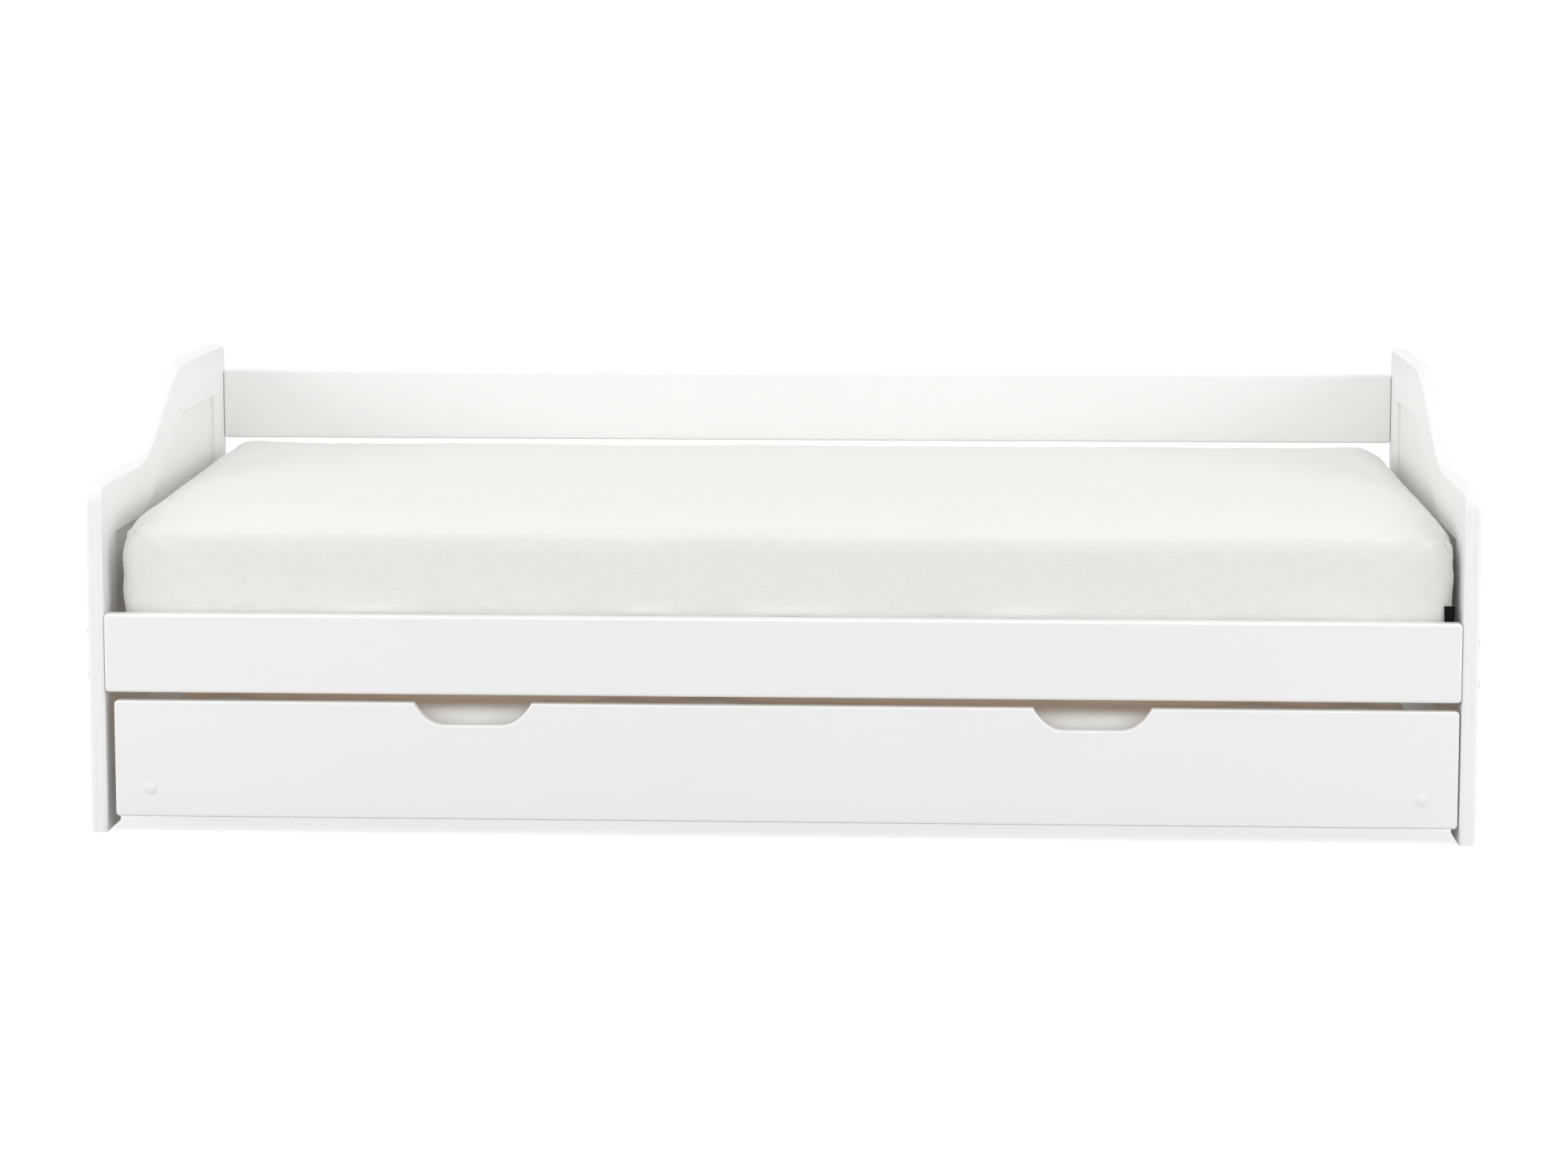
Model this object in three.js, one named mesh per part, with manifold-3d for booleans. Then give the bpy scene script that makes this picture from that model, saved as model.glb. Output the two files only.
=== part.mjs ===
// A single day bed with a pull-out trundle on castors, in millimetres.
// +Z is up, X runs along the bed and the open side faces -Y. The origin is on the floor, under the middle of the bed.
import * as THREE from "three";
import { RoundedBoxGeometry } from "three/addons/geometries/RoundedBoxGeometry.js";
import { mergeVertices } from "three/addons/utils/BufferGeometryUtils.js";
import Module from "manifold-3d";

// Overall sizes
const INSIDE_LENGTH = 2011; // between the two end panels
const BED_DEPTH = 944;
const FRONT_TOP = 525; // low part of an end panel's top edge
const BACK_TOP = 654; // high part of it
const FIT = 0.3; // gap between pieces that touch

// End panels: two stiles and two rails grooved round a thinner panel
const END_THICKNESS = 24.5;
const FRONT_STILE_WIDTH = 95;
const REAR_STILE_WIDTH = 90;
const TOP_RAIL_BAND = 84;
const BOTTOM_RAIL_RISE = 60;
const BOTTOM_RAIL_HEIGHT = 90;
const PANEL_RECESS = 8;
const GROOVE_DEPTH = 8;
const TONGUE_SHOULDER = 18;
const FRONT_CORNER_RADIUS = 28;
const REAR_CORNER_RADIUS = 22;
const SWEEP_START = 255; // from the front edge to where the top edge begins to rise
const SWEEP_LENGTH = 370;
const SWEEP_EASE = 135; // length of the curve's handles

// Long rails between the ends
const SIDE_RAIL_HEIGHT = 118;
const SIDE_RAIL_THICKNESS = 24;
const BACK_RAIL_HEIGHT = 118;
const BACK_RAIL_THICKNESS = 20;
const BACK_RAIL_DROP = 46; // from the top of the end panels down to the upper back rail
const RAIL_END_GAP = 0.6;
const BOARD_EDGE_RADIUS = 4;

// Slatted base of the bed
const SLAT_COUNT = 13;
const SLAT_WIDTH = 68;
const SLAT_THICKNESS = 18;
const SLAT_DROP = 45; // from the top of the side rail down to the top of the slats
const SLAT_END_GAP = 2;
const SLAT_MARGIN = 40; // from an end panel to the first slat
const SLAT_EDGE_RADIUS = 3;
const LEDGER_WIDTH = 28;
const LEDGER_HEIGHT = 30;
const LEDGER_END_GAP = 20;
const WEBBING_WIDTH = 20;
const WEBBING_THICKNESS = 1.2;
const WEBBING_INSET = 130;

// Bed mattress and its tab
const MATTRESS_HEIGHT = 200;
const MATTRESS_END_GAP = 14;
const MATTRESS_SIDE_GAP = 5;
const MATTRESS_SHIFT = 6; // the mattress lies a little towards +X
const MATTRESS_RADIUS = 40;
const TAB_WIDTH = 16;
const TAB_THICKNESS = 1.2;
const TAB_HEIGHT = 40;
const TAB_SHOWS = 22; // how much of it stands above the side rail
const TAB_END_GAP = 1;

// Trundle tray
const TRUNDLE_FLOOR_GAP = 24;
const TRUNDLE_FRONT_HEIGHT = 176;
const TRUNDLE_FRONT_THICKNESS = 18;
const TRUNDLE_TOP_GAP = 13; // slot under the side rail
const TRUNDLE_END_GAP = 7.6;
const TRUNDLE_SHIFT = 5.3; // the trundle stands a little towards +X
const TRUNDLE_FRONT_INSET = 3;
const TRUNDLE_BACK_INSET = 6;
const TRAY_BOARD_HEIGHT = 100;
const TRAY_SIDE_THICKNESS = 18;
const TRAY_BACK_THICKNESS = 15;
const TRAY_SIDE_INSET = 53; // from the end of the front board to the middle of a side board
const BEARER_WIDTH = 60;
const BEARER_THICKNESS = 20;
const PLANK_COUNT = 6;
const PLANK_WIDTH = 95;
const PLANK_THICKNESS = 12;
const PLANK_MARGIN = 25;
const PLANK_END_GAP = 2;
const TRUNDLE_MATTRESS_HEIGHT = 114;
const TRUNDLE_MATTRESS_GAP = 5;
const TRUNDLE_MATTRESS_RADIUS = 26;

// Hand cut-outs and cover caps in the trundle's front
const CUTOUT_OFFSET = 460; // from the middle of the board
const CUTOUT_TOP_WIDTH = 176;
const CUTOUT_FLAT_WIDTH = 85;
const CUTOUT_DEPTH = 33;
const CAP_RADIUS = 9;
const CAP_DOME = 2.4;
const CAP_STEM_RADIUS = 4.5;
const CAP_STEM_LENGTH = 7;
const CAP_RISE = 43; // from the board's lower edge to the middle of a cap
const CAP_SIDES = 20;

// Fixed castors
const WHEEL_RADIUS = 20;
const WHEEL_WIDTH = 18;
const WHEEL_HUB_RADIUS = 9;
const WHEEL_WEB_RECESS = 3;
const WHEEL_TREAD_DEPTH = 4;
const WHEEL_PLATE_GAP = 8;
const AXLE_RADIUS = 3;
const AXLE_CLEARANCE = 0.3;
const AXLE_HEAD_RADIUS = 5;
const AXLE_HEAD_LENGTH = 1.6;
const FORK_THICKNESS = 2;
const FORK_SIDE_GAP = 1.5;
const FORK_TOP_WIDTH = 34;
const FORK_TIP_RADIUS = 8;
const PLATE_LENGTH = 58;
const PLATE_WIDTH = 42;
const PLATE_CORNER_RADIUS = 5;
const PLATE_HOLE_RADIUS = 2.3;
const PLATE_HOLE_INSET = 8;
const CASTOR_SETBACK = 120; // from a bearer's end to the castor's axle
const WHEEL_SIDES = 28;
const AXLE_SIDES = 14;

// Places worked out from the sizes
const FRONT_FACE = -BED_DEPTH / 2;
const BACK_FACE = BED_DEPTH / 2;
const SIDE_RAIL_BOTTOM = TRUNDLE_FLOOR_GAP + TRUNDLE_FRONT_HEIGHT + TRUNDLE_TOP_GAP;
const SIDE_RAIL_TOP = SIDE_RAIL_BOTTOM + SIDE_RAIL_HEIGHT;
const SIDE_RAIL_BACK = FRONT_FACE + SIDE_RAIL_THICKNESS;
const BACK_RAIL_FRONT = BACK_FACE - BACK_RAIL_THICKNESS;
const SLAT_TOP = SIDE_RAIL_TOP - SLAT_DROP;
const CASTOR_HEIGHT = 2 * WHEEL_RADIUS + WHEEL_PLATE_GAP + FORK_THICKNESS;
const TRAY_BOTTOM = CASTOR_HEIGHT + FIT;
const TRUNDLE_LENGTH = INSIDE_LENGTH - 2 * TRUNDLE_END_GAP;
const TRUNDLE_FRONT_FACE = FRONT_FACE + TRUNDLE_FRONT_INSET;
const TRAY_FRONT = TRUNDLE_FRONT_FACE + TRUNDLE_FRONT_THICKNESS;
const TRAY_BACK = BACK_FACE - TRUNDLE_BACK_INSET - TRAY_BACK_THICKNESS;
const TRAY_SIDE_CENTRE = TRUNDLE_LENGTH / 2 - TRAY_SIDE_INSET;
const TRAY_HALF_LENGTH = TRAY_SIDE_CENTRE - TRAY_SIDE_THICKNESS / 2;
const SIDES = [["left", -1], ["right", 1]];

const finish = (color, roughness, metalness = 0) => () =>
  new THREE.MeshStandardMaterial({ color, roughness, metalness });
const whitePaint = finish(0xececea, 0.45);
const pine = finish(0xd9b98c, 0.65);
const birchPly = finish(0xcfae82, 0.6);
const ticking = finish(0xebe9e4, 0.95);
const webbing = finish(0xd8d4c8, 0.9);
const blackTape = finish(0x111111, 0.8);
const capPlastic = finish(0xf0f0ee, 0.35);
const zincSteel = finish(0xb9bcc0, 0.35, 0.9);
const greyNylon = finish(0x55585c, 0.5);

const wasm = await Module();
wasm.setup();

function piece(parent, name, geometry, material) {
  const mesh = new THREE.Mesh(geometry, material());
  mesh.name = name;
  parent.add(mesh);
  return mesh;
}

// Solids for joining and cutting
function solidOf(geometry) {
  const bare = new THREE.BufferGeometry();
  bare.setAttribute("position", geometry.getAttribute("position"));
  bare.setIndex(geometry.index);
  const merged = mergeVertices(bare, 1e-4);
  const mesh = new wasm.Mesh({
    numProp: 3,
    vertProperties: merged.getAttribute("position").array,
    triVerts: new Uint32Array(merged.index.array),
  });
  return new wasm.Manifold(mesh);
}

function geometryOf(solid) {
  const mesh = solid.getMesh();
  const geometry = new THREE.BufferGeometry();
  geometry.setAttribute("position", new THREE.BufferAttribute(mesh.vertProperties, 3));
  geometry.setIndex(new THREE.BufferAttribute(mesh.triVerts, 1));
  return geometry;
}

const join = (...geometries) =>
  geometryOf(geometries.map(solidOf).reduce((sum, solid) => sum.add(solid)));
const cut = (geometry, ...tools) =>
  geometryOf(tools.map(solidOf).reduce((rest, tool) => rest.subtract(tool), solidOf(geometry)));

// Extrusions along each axis, from shapes drawn in the other two
function extrude(shape, length, curveSegments) {
  return new THREE.ExtrudeGeometry(shape, { depth: length, bevelEnabled: false, curveSegments });
}

function alongX(shape, from, to, curveSegments = 3) {
  const turn = new THREE.Matrix4().set(0, 0, 1, from, 1, 0, 0, 0, 0, 1, 0, 0, 0, 0, 0, 1);
  return extrude(shape, to - from, curveSegments).applyMatrix4(turn);
}

function alongY(shape, from, to, curveSegments = 3) {
  return extrude(shape, to - from, curveSegments).rotateX(Math.PI / 2).translate(0, to, 0);
}

function alongZ(shape, from, to, curveSegments = 3) {
  return extrude(shape, to - from, curveSegments).translate(0, 0, from);
}

function block(x0, x1, y0, y1, z0, z1) {
  return new THREE.BoxGeometry(x1 - x0, y1 - y0, z1 - z0)
    .translate((x0 + x1) / 2, (y0 + y1) / 2, (z0 + z1) / 2);
}

// A rectangle with rounded corners
function roundedRectangle(u0, u1, v0, v1, radius) {
  const shape = new THREE.Shape();
  shape.absarc(u1 - radius, v0 + radius, radius, -Math.PI / 2, 0);
  shape.absarc(u1 - radius, v1 - radius, radius, 0, Math.PI / 2);
  shape.absarc(u0 + radius, v1 - radius, radius, Math.PI / 2, Math.PI);
  shape.absarc(u0 + radius, v0 + radius, radius, Math.PI, 1.5 * Math.PI);
  shape.closePath();
  return shape;
}

// A solid of revolution about the X axis from a closed profile of [radius, x] points
function roundX(profile, segments) {
  const points = [...profile, profile[0]].map(([radius, x]) => new THREE.Vector2(radius, x));
  return new THREE.LatheGeometry(points, segments).rotateZ(-Math.PI / 2);
}

// A board along the bed, between the end panels
function longRail(y0, y1, z0, z1) {
  const half = INSIDE_LENGTH / 2 - RAIL_END_GAP;
  return alongX(roundedRectangle(y0, y1, z0, z1, BOARD_EDGE_RADIUS), -half, half);
}

// End panels. Their top edge is level at the front, sweeps up, and is level again at the back.
const FRONT_STILE_BACK = FRONT_FACE + FRONT_STILE_WIDTH;
const REAR_STILE_FRONT = BACK_FACE - REAR_STILE_WIDTH;
const BOTTOM_RAIL_TOP = BOTTOM_RAIL_RISE + BOTTOM_RAIL_HEIGHT;
const PANEL_THICKNESS = END_THICKNESS - 2 * PANEL_RECESS;
const SWEEP_FRONT = FRONT_FACE + SWEEP_START;
const SWEEP_BACK = SWEEP_FRONT + SWEEP_LENGTH;
const SWEEP_SEGMENTS = 14;
const CENTRED_END = [-END_THICKNESS / 2, END_THICKNESS / 2];

// The outline between two uprights, from a lower edge up to the swept edge lowered by drop
function sweptOutline(front, back, bottom, drop) {
  const low = FRONT_TOP - drop;
  const high = BACK_TOP - drop;
  const shape = new THREE.Shape();
  shape.moveTo(front, bottom);
  shape.lineTo(back, bottom);
  shape.lineTo(back, high);
  shape.lineTo(SWEEP_BACK, high);
  shape.bezierCurveTo(SWEEP_BACK - SWEEP_EASE, high, SWEEP_FRONT + SWEEP_EASE, low, SWEEP_FRONT, low);
  shape.lineTo(front, low);
  shape.closePath();
  return shape;
}

function panelOutline(reach) {
  return sweptOutline(
    FRONT_STILE_BACK - reach,
    REAR_STILE_FRONT + reach,
    BOTTOM_RAIL_TOP - reach,
    TOP_RAIL_BAND - reach,
  );
}

const middleOfEnd = (shape, thickness) =>
  alongX(shape, -thickness / 2, thickness / 2, SWEEP_SEGMENTS);
const panelGroove = () =>
  middleOfEnd(panelOutline(GROOVE_DEPTH), PANEL_THICKNESS + 2 * FIT);
const endPanel = () => middleOfEnd(panelOutline(GROOVE_DEPTH - FIT), PANEL_THICKNESS);

// A stile with its outer top corner rounded, and a groove along its inner edge for the panel and the tongues
function stile(outer, inner, top, cornerRadius) {
  const inward = Math.sign(inner - outer);
  const shape = new THREE.Shape();
  shape.moveTo(outer, 0);
  shape.lineTo(outer, top - cornerRadius);
  shape.quadraticCurveTo(outer, top, outer + inward * cornerRadius, top);
  shape.lineTo(inner, top);
  shape.lineTo(inner, 0);
  shape.closePath();
  const grooveEnds = [inner - inward * GROOVE_DEPTH, inner + inward * FIT].sort((a, b) => a - b);
  const grooveHalf = PANEL_THICKNESS / 2 + FIT;
  const groove = block(
    -grooveHalf, grooveHalf,
    ...grooveEnds,
    BOTTOM_RAIL_RISE + TONGUE_SHOULDER, top - TONGUE_SHOULDER,
  );
  return cut(alongX(shape, ...CENTRED_END, 6), groove);
}

// The tongue at a rail's end, which sits in the stile's groove
function tongue(shoulder, outward, bottom, top) {
  const ends = [shoulder - outward * 2, shoulder + outward * (GROOVE_DEPTH - FIT)];
  const half = PANEL_THICKNESS / 2;
  return block(-half, half, ...ends.sort((a, b) => a - b), bottom, top);
}

function topRail() {
  const front = FRONT_STILE_BACK + FIT;
  const back = REAR_STILE_FRONT - FIT;
  const blank = middleOfEnd(sweptOutline(front, back, 0, 0), END_THICKNESS);
  const below = middleOfEnd(
    sweptOutline(front - 1, back + 1, -1, TOP_RAIL_BAND),
    END_THICKNESS + 2,
  );
  const frontTongue = tongue(
    front, -1, FRONT_TOP - TOP_RAIL_BAND + FIT, FRONT_TOP - TONGUE_SHOULDER - FIT,
  );
  const backTongue = tongue(
    back, 1, BACK_TOP - TOP_RAIL_BAND + FIT, BACK_TOP - TONGUE_SHOULDER - FIT,
  );
  return cut(join(cut(blank, below), frontTongue, backTongue), panelGroove());
}

function bottomRail() {
  const front = FRONT_STILE_BACK + FIT;
  const back = REAR_STILE_FRONT - FIT;
  const board = block(...CENTRED_END, front, back, BOTTOM_RAIL_RISE, BOTTOM_RAIL_TOP);
  const heights = [BOTTOM_RAIL_RISE + TONGUE_SHOULDER + FIT, BOTTOM_RAIL_TOP - FIT];
  const tongues = [tongue(front, -1, ...heights), tongue(back, 1, ...heights)];
  return cut(join(board, ...tongues), panelGroove());
}

function buildEnd(side, sign) {
  const end = new THREE.Group();
  end.position.x = sign * (INSIDE_LENGTH + END_THICKNESS) / 2;
  const frontStile = stile(FRONT_FACE, FRONT_STILE_BACK, FRONT_TOP, FRONT_CORNER_RADIUS);
  const rearStile = stile(BACK_FACE, REAR_STILE_FRONT, BACK_TOP, REAR_CORNER_RADIUS);
  piece(end, `${side}_front_stile`, frontStile, whitePaint);
  piece(end, `${side}_rear_stile`, rearStile, whitePaint);
  piece(end, `${side}_top_rail`, topRail(), whitePaint);
  piece(end, `${side}_bottom_rail`, bottomRail(), whitePaint);
  piece(end, `${side}_panel`, endPanel(), whitePaint);
  return end;
}

function buildRails() {
  const rails = new THREE.Group();
  const upperBackTop = BACK_TOP - BACK_RAIL_DROP;
  const sideRail = longRail(FRONT_FACE, SIDE_RAIL_BACK, SIDE_RAIL_BOTTOM, SIDE_RAIL_TOP);
  const upperBack = longRail(BACK_RAIL_FRONT, BACK_FACE, upperBackTop - BACK_RAIL_HEIGHT, upperBackTop);
  const lowerBack = longRail(BACK_RAIL_FRONT, BACK_FACE, SIDE_RAIL_BOTTOM, SIDE_RAIL_TOP);
  piece(rails, "front_side_rail", sideRail, whitePaint);
  piece(rails, "upper_back_rail", upperBack, whitePaint);
  piece(rails, "lower_back_rail", lowerBack, whitePaint);
  return rails;
}

// Slats across the bed, on a ledger along each rail, held at their spacing by two woven straps
function buildSlatBase() {
  const base = new THREE.Group();
  const slatBottom = SLAT_TOP - SLAT_THICKNESS;
  const ledgerHalf = INSIDE_LENGTH / 2 - LEDGER_END_GAP;
  const ledgerHeights = [slatBottom - FIT - LEDGER_HEIGHT, slatBottom - FIT];
  const frontLedgerY = SIDE_RAIL_BACK + FIT;
  const backLedgerY = BACK_RAIL_FRONT - FIT - LEDGER_WIDTH;
  for (const [place, y] of [["front", frontLedgerY], ["back", backLedgerY]]) {
    const ledger = block(-ledgerHalf, ledgerHalf, y, y + LEDGER_WIDTH, ...ledgerHeights);
    piece(base, `${place}_slat_ledger`, ledger, pine);
  }
  const slatFront = SIDE_RAIL_BACK + SLAT_END_GAP;
  const slatBack = BACK_RAIL_FRONT - SLAT_END_GAP;
  const firstSlat = -INSIDE_LENGTH / 2 + SLAT_MARGIN + SLAT_WIDTH / 2;
  const pitch = (-2 * firstSlat) / (SLAT_COUNT - 1);
  for (let i = 0; i < SLAT_COUNT; i++) {
    const section = roundedRectangle(
      -SLAT_WIDTH / 2, SLAT_WIDTH / 2, slatBottom, SLAT_TOP, SLAT_EDGE_RADIUS,
    );
    const number = String(i + 1).padStart(2, "0");
    const slat = piece(base, `bed_slat_${number}`, alongY(section, slatFront, slatBack, 2), birchPly);
    slat.position.x = firstSlat + i * pitch;
  }
  const strapHalf = -firstSlat + SLAT_WIDTH / 2;
  const strapHeights = [SLAT_TOP + FIT, SLAT_TOP + FIT + WEBBING_THICKNESS];
  const frontStrapY = slatFront + WEBBING_INSET;
  const backStrapY = slatBack - WEBBING_INSET - WEBBING_WIDTH;
  for (const [place, y] of [["front", frontStrapY], ["back", backStrapY]]) {
    const strap = block(-strapHalf, strapHalf, y, y + WEBBING_WIDTH, ...strapHeights);
    piece(base, `${place}_slat_webbing`, strap, webbing);
  }
  return base;
}

function buildMattress() {
  const group = new THREE.Group();
  const length = INSIDE_LENGTH - 2 * MATTRESS_END_GAP;
  const front = SIDE_RAIL_BACK + MATTRESS_SIDE_GAP;
  const back = BACK_RAIL_FRONT - MATTRESS_SIDE_GAP;
  const bottom = SLAT_TOP + 2 * FIT + WEBBING_THICKNESS;
  const body = new RoundedBoxGeometry(length, back - front, MATTRESS_HEIGHT, 3, MATTRESS_RADIUS);
  body.translate(MATTRESS_SHIFT, (front + back) / 2, bottom + MATTRESS_HEIGHT / 2);
  piece(group, "bed_mattress", body, ticking);
  const tabEnd = MATTRESS_SHIFT + length / 2 - TAB_END_GAP;
  const tabBack = front - FIT;
  const tabTop = SIDE_RAIL_TOP + TAB_SHOWS;
  const tab = block(
    tabEnd - TAB_WIDTH, tabEnd, tabBack - TAB_THICKNESS, tabBack, tabTop - TAB_HEIGHT, tabTop,
  );
  piece(group, "mattress_side_tab", tab, blackTape);
  return group;
}

// The trundle's front board, with two hand cut-outs in its top edge and a blind hole behind each cover cap
function trundleFront() {
  const half = TRUNDLE_LENGTH / 2;
  const bottom = TRUNDLE_FLOOR_GAP;
  const top = bottom + TRUNDLE_FRONT_HEIGHT;
  const r = BOARD_EDGE_RADIUS;
  const cutoutSlope = (CUTOUT_TOP_WIDTH - CUTOUT_FLAT_WIDTH) / 2;
  const shape = new THREE.Shape();
  shape.moveTo(half - r, bottom);
  shape.absarc(half - r, bottom + r, r, -Math.PI / 2, 0);
  shape.absarc(half - r, top - r, r, 0, Math.PI / 2);
  for (const centre of [CUTOUT_OFFSET, -CUTOUT_OFFSET]) {
    const right = centre + CUTOUT_TOP_WIDTH / 2;
    const left = centre - CUTOUT_TOP_WIDTH / 2;
    const low = top - CUTOUT_DEPTH;
    shape.lineTo(right, top);
    shape.bezierCurveTo(
      right - cutoutSlope / 4, top - 0.6 * CUTOUT_DEPTH,
      right - 0.6 * cutoutSlope, low,
      right - cutoutSlope, low,
    );
    shape.lineTo(left + cutoutSlope, low);
    shape.bezierCurveTo(
      left + 0.6 * cutoutSlope, low,
      left + cutoutSlope / 4, top - 0.6 * CUTOUT_DEPTH,
      left, top,
    );
  }
  shape.absarc(r - half, top - r, r, Math.PI / 2, Math.PI);
  shape.absarc(r - half, bottom + r, r, Math.PI, 1.5 * Math.PI);
  shape.closePath();
  const board = alongY(shape, TRUNDLE_FRONT_FACE, TRAY_FRONT, 6);
  return cut(board, ...SIDES.map(([, sign]) => capHole(sign)));
}

function capHole(sign) {
  const depth = CAP_STEM_LENGTH + 1;
  return new THREE.CylinderGeometry(CAP_STEM_RADIUS + FIT, CAP_STEM_RADIUS + FIT, 2 * depth, CAP_SIDES)
    .translate(sign * TRAY_SIDE_CENTRE, TRUNDLE_FRONT_FACE, TRUNDLE_FLOOR_GAP + CAP_RISE);
}

// A domed cover cap with a stem, its axis along Y
function coverCap() {
  const dome = new THREE.Path();
  dome.moveTo(0, CAP_STEM_LENGTH);
  dome.lineTo(CAP_STEM_RADIUS, CAP_STEM_LENGTH);
  dome.lineTo(CAP_STEM_RADIUS, -FIT);
  dome.lineTo(CAP_RADIUS, -FIT);
  dome.quadraticCurveTo(CAP_RADIUS, -CAP_DOME, 0, -CAP_DOME);
  return new THREE.LatheGeometry(dome.getPoints(5).reverse(), CAP_SIDES);
}

function buildTray(trundle) {
  const trayTop = TRAY_BOTTOM + TRAY_BOARD_HEIGHT;
  const r = BOARD_EDGE_RADIUS;
  const front = TRAY_FRONT + FIT;
  const back = TRAY_BACK - FIT;
  const outerEnd = TRAY_SIDE_CENTRE + TRAY_SIDE_THICKNESS / 2;
  piece(trundle, "trundle_front_board", trundleFront(), whitePaint);
  const backSection = roundedRectangle(TRAY_BACK, TRAY_BACK + TRAY_BACK_THICKNESS, TRAY_BOTTOM, trayTop, r);
  piece(trundle, "trundle_back_board", alongX(backSection, -outerEnd, outerEnd), whitePaint);
  for (const [side, sign] of SIDES) {
    const section = roundedRectangle(
      -TRAY_SIDE_THICKNESS / 2, TRAY_SIDE_THICKNESS / 2, TRAY_BOTTOM, trayTop, r,
    );
    const board = piece(trundle, `trundle_${side}_board`, alongY(section, front, back), whitePaint);
    board.position.x = sign * TRAY_SIDE_CENTRE;
    const cap = piece(trundle, `${side}_cover_cap`, coverCap(), capPlastic);
    cap.position.set(sign * TRAY_SIDE_CENTRE, TRUNDLE_FRONT_FACE, TRUNDLE_FLOOR_GAP + CAP_RISE);
  }
}

// Three bearers across the tray carry planks along it
const BEARER_END = TRAY_HALF_LENGTH - FIT - BEARER_WIDTH / 2;
const BEARER_TOP = TRAY_BOTTOM + BEARER_THICKNESS;
const PLANK_TOP = BEARER_TOP + FIT + PLANK_THICKNESS;

function buildTrayBase(trundle) {
  const front = TRAY_FRONT + FIT;
  const back = TRAY_BACK - FIT;
  for (const [place, x] of [["left", -BEARER_END], ["middle", 0], ["right", BEARER_END]]) {
    const half = BEARER_WIDTH / 2;
    const bearer = block(x - half, x + half, front, back, TRAY_BOTTOM, BEARER_TOP);
    piece(trundle, `trundle_${place}_bearer`, bearer, pine);
  }
  const plankHalf = TRAY_HALF_LENGTH - PLANK_END_GAP;
  const firstPlank = TRAY_FRONT + PLANK_MARGIN + PLANK_WIDTH / 2;
  const lastPlank = TRAY_BACK - PLANK_MARGIN - PLANK_WIDTH / 2;
  const pitch = (lastPlank - firstPlank) / (PLANK_COUNT - 1);
  for (let i = 0; i < PLANK_COUNT; i++) {
    const section = roundedRectangle(
      -PLANK_WIDTH / 2, PLANK_WIDTH / 2, BEARER_TOP + FIT, PLANK_TOP, SLAT_EDGE_RADIUS,
    );
    const plank = piece(trundle, `trundle_plank_${i + 1}`, alongX(section, -plankHalf, plankHalf, 2), birchPly);
    plank.position.y = firstPlank + i * pitch;
  }
}

function buildTrundleMattress(trundle) {
  const front = TRAY_FRONT + TRUNDLE_MATTRESS_GAP;
  const back = TRAY_BACK - TRUNDLE_MATTRESS_GAP;
  const length = 2 * (TRAY_HALF_LENGTH - TRUNDLE_MATTRESS_GAP);
  const body = new RoundedBoxGeometry(
    length, back - front, TRUNDLE_MATTRESS_HEIGHT, 3, TRUNDLE_MATTRESS_RADIUS,
  );
  body.translate(0, (front + back) / 2, PLANK_TOP + 2 * FIT + TRUNDLE_MATTRESS_HEIGHT / 2);
  piece(trundle, "trundle_mattress", body, ticking);
}

// Castors, drawn about the axle and placed at its height. They only roll, towards the open side of the bed.
const FORK_INSIDE = WHEEL_WIDTH / 2 + FORK_SIDE_GAP;
const FORK_OUTSIDE = FORK_INSIDE + FORK_THICKNESS;
const PLATE_BOTTOM = WHEEL_RADIUS + WHEEL_PLATE_GAP;

function castorWheel() {
  const half = WHEEL_WIDTH / 2;
  const web = half - WHEEL_WEB_RECESS;
  const bore = AXLE_RADIUS + AXLE_CLEARANCE;
  const rim = WHEEL_RADIUS - WHEEL_TREAD_DEPTH;
  const shoulder = WHEEL_RADIUS - WHEEL_TREAD_DEPTH / 4;
  const halfProfile = [
    [bore, half],
    [WHEEL_HUB_RADIUS, half],
    [WHEEL_HUB_RADIUS, web],
    [rim, web],
    [rim, half],
    [shoulder, half - 0.5],
    [WHEEL_RADIUS, web],
  ];
  const otherHalf = halfProfile.map(([radius, x]) => [radius, -x]).reverse();
  return roundX([...halfProfile, ...otherHalf].reverse(), WHEEL_SIDES);
}

function castorCheek(from, to) {
  const shape = new THREE.Shape();
  const halfTop = FORK_TOP_WIDTH / 2;
  const lean = Math.PI / 8;
  shape.moveTo(halfTop, PLATE_BOTTOM + FORK_THICKNESS / 2);
  shape.lineTo(-halfTop, PLATE_BOTTOM + FORK_THICKNESS / 2);
  shape.absarc(0, 0, FORK_TIP_RADIUS, Math.PI - lean, 2 * Math.PI + lean);
  shape.closePath();
  const bore = new THREE.Path();
  bore.absarc(0, 0, AXLE_RADIUS + AXLE_CLEARANCE, 0, 2 * Math.PI);
  shape.holes.push(bore);
  return alongX(shape, from, to, 8);
}

function castorFork() {
  const outline = roundedRectangle(
    -PLATE_WIDTH / 2, PLATE_WIDTH / 2, -PLATE_LENGTH / 2, PLATE_LENGTH / 2, PLATE_CORNER_RADIUS,
  );
  for (const u of [-1, 1])
    for (const v of [-1, 1]) {
      const hole = new THREE.Path();
      hole.absarc(
        u * (PLATE_WIDTH / 2 - PLATE_HOLE_INSET),
        v * (PLATE_LENGTH / 2 - PLATE_HOLE_INSET),
        PLATE_HOLE_RADIUS, 0, 2 * Math.PI,
      );
      outline.holes.push(hole);
    }
  const plate = alongZ(outline, PLATE_BOTTOM, PLATE_BOTTOM + FORK_THICKNESS, 4);
  const cheeks = [castorCheek(FORK_INSIDE, FORK_OUTSIDE), castorCheek(-FORK_OUTSIDE, -FORK_INSIDE)];
  return join(plate, ...cheeks);
}

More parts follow.
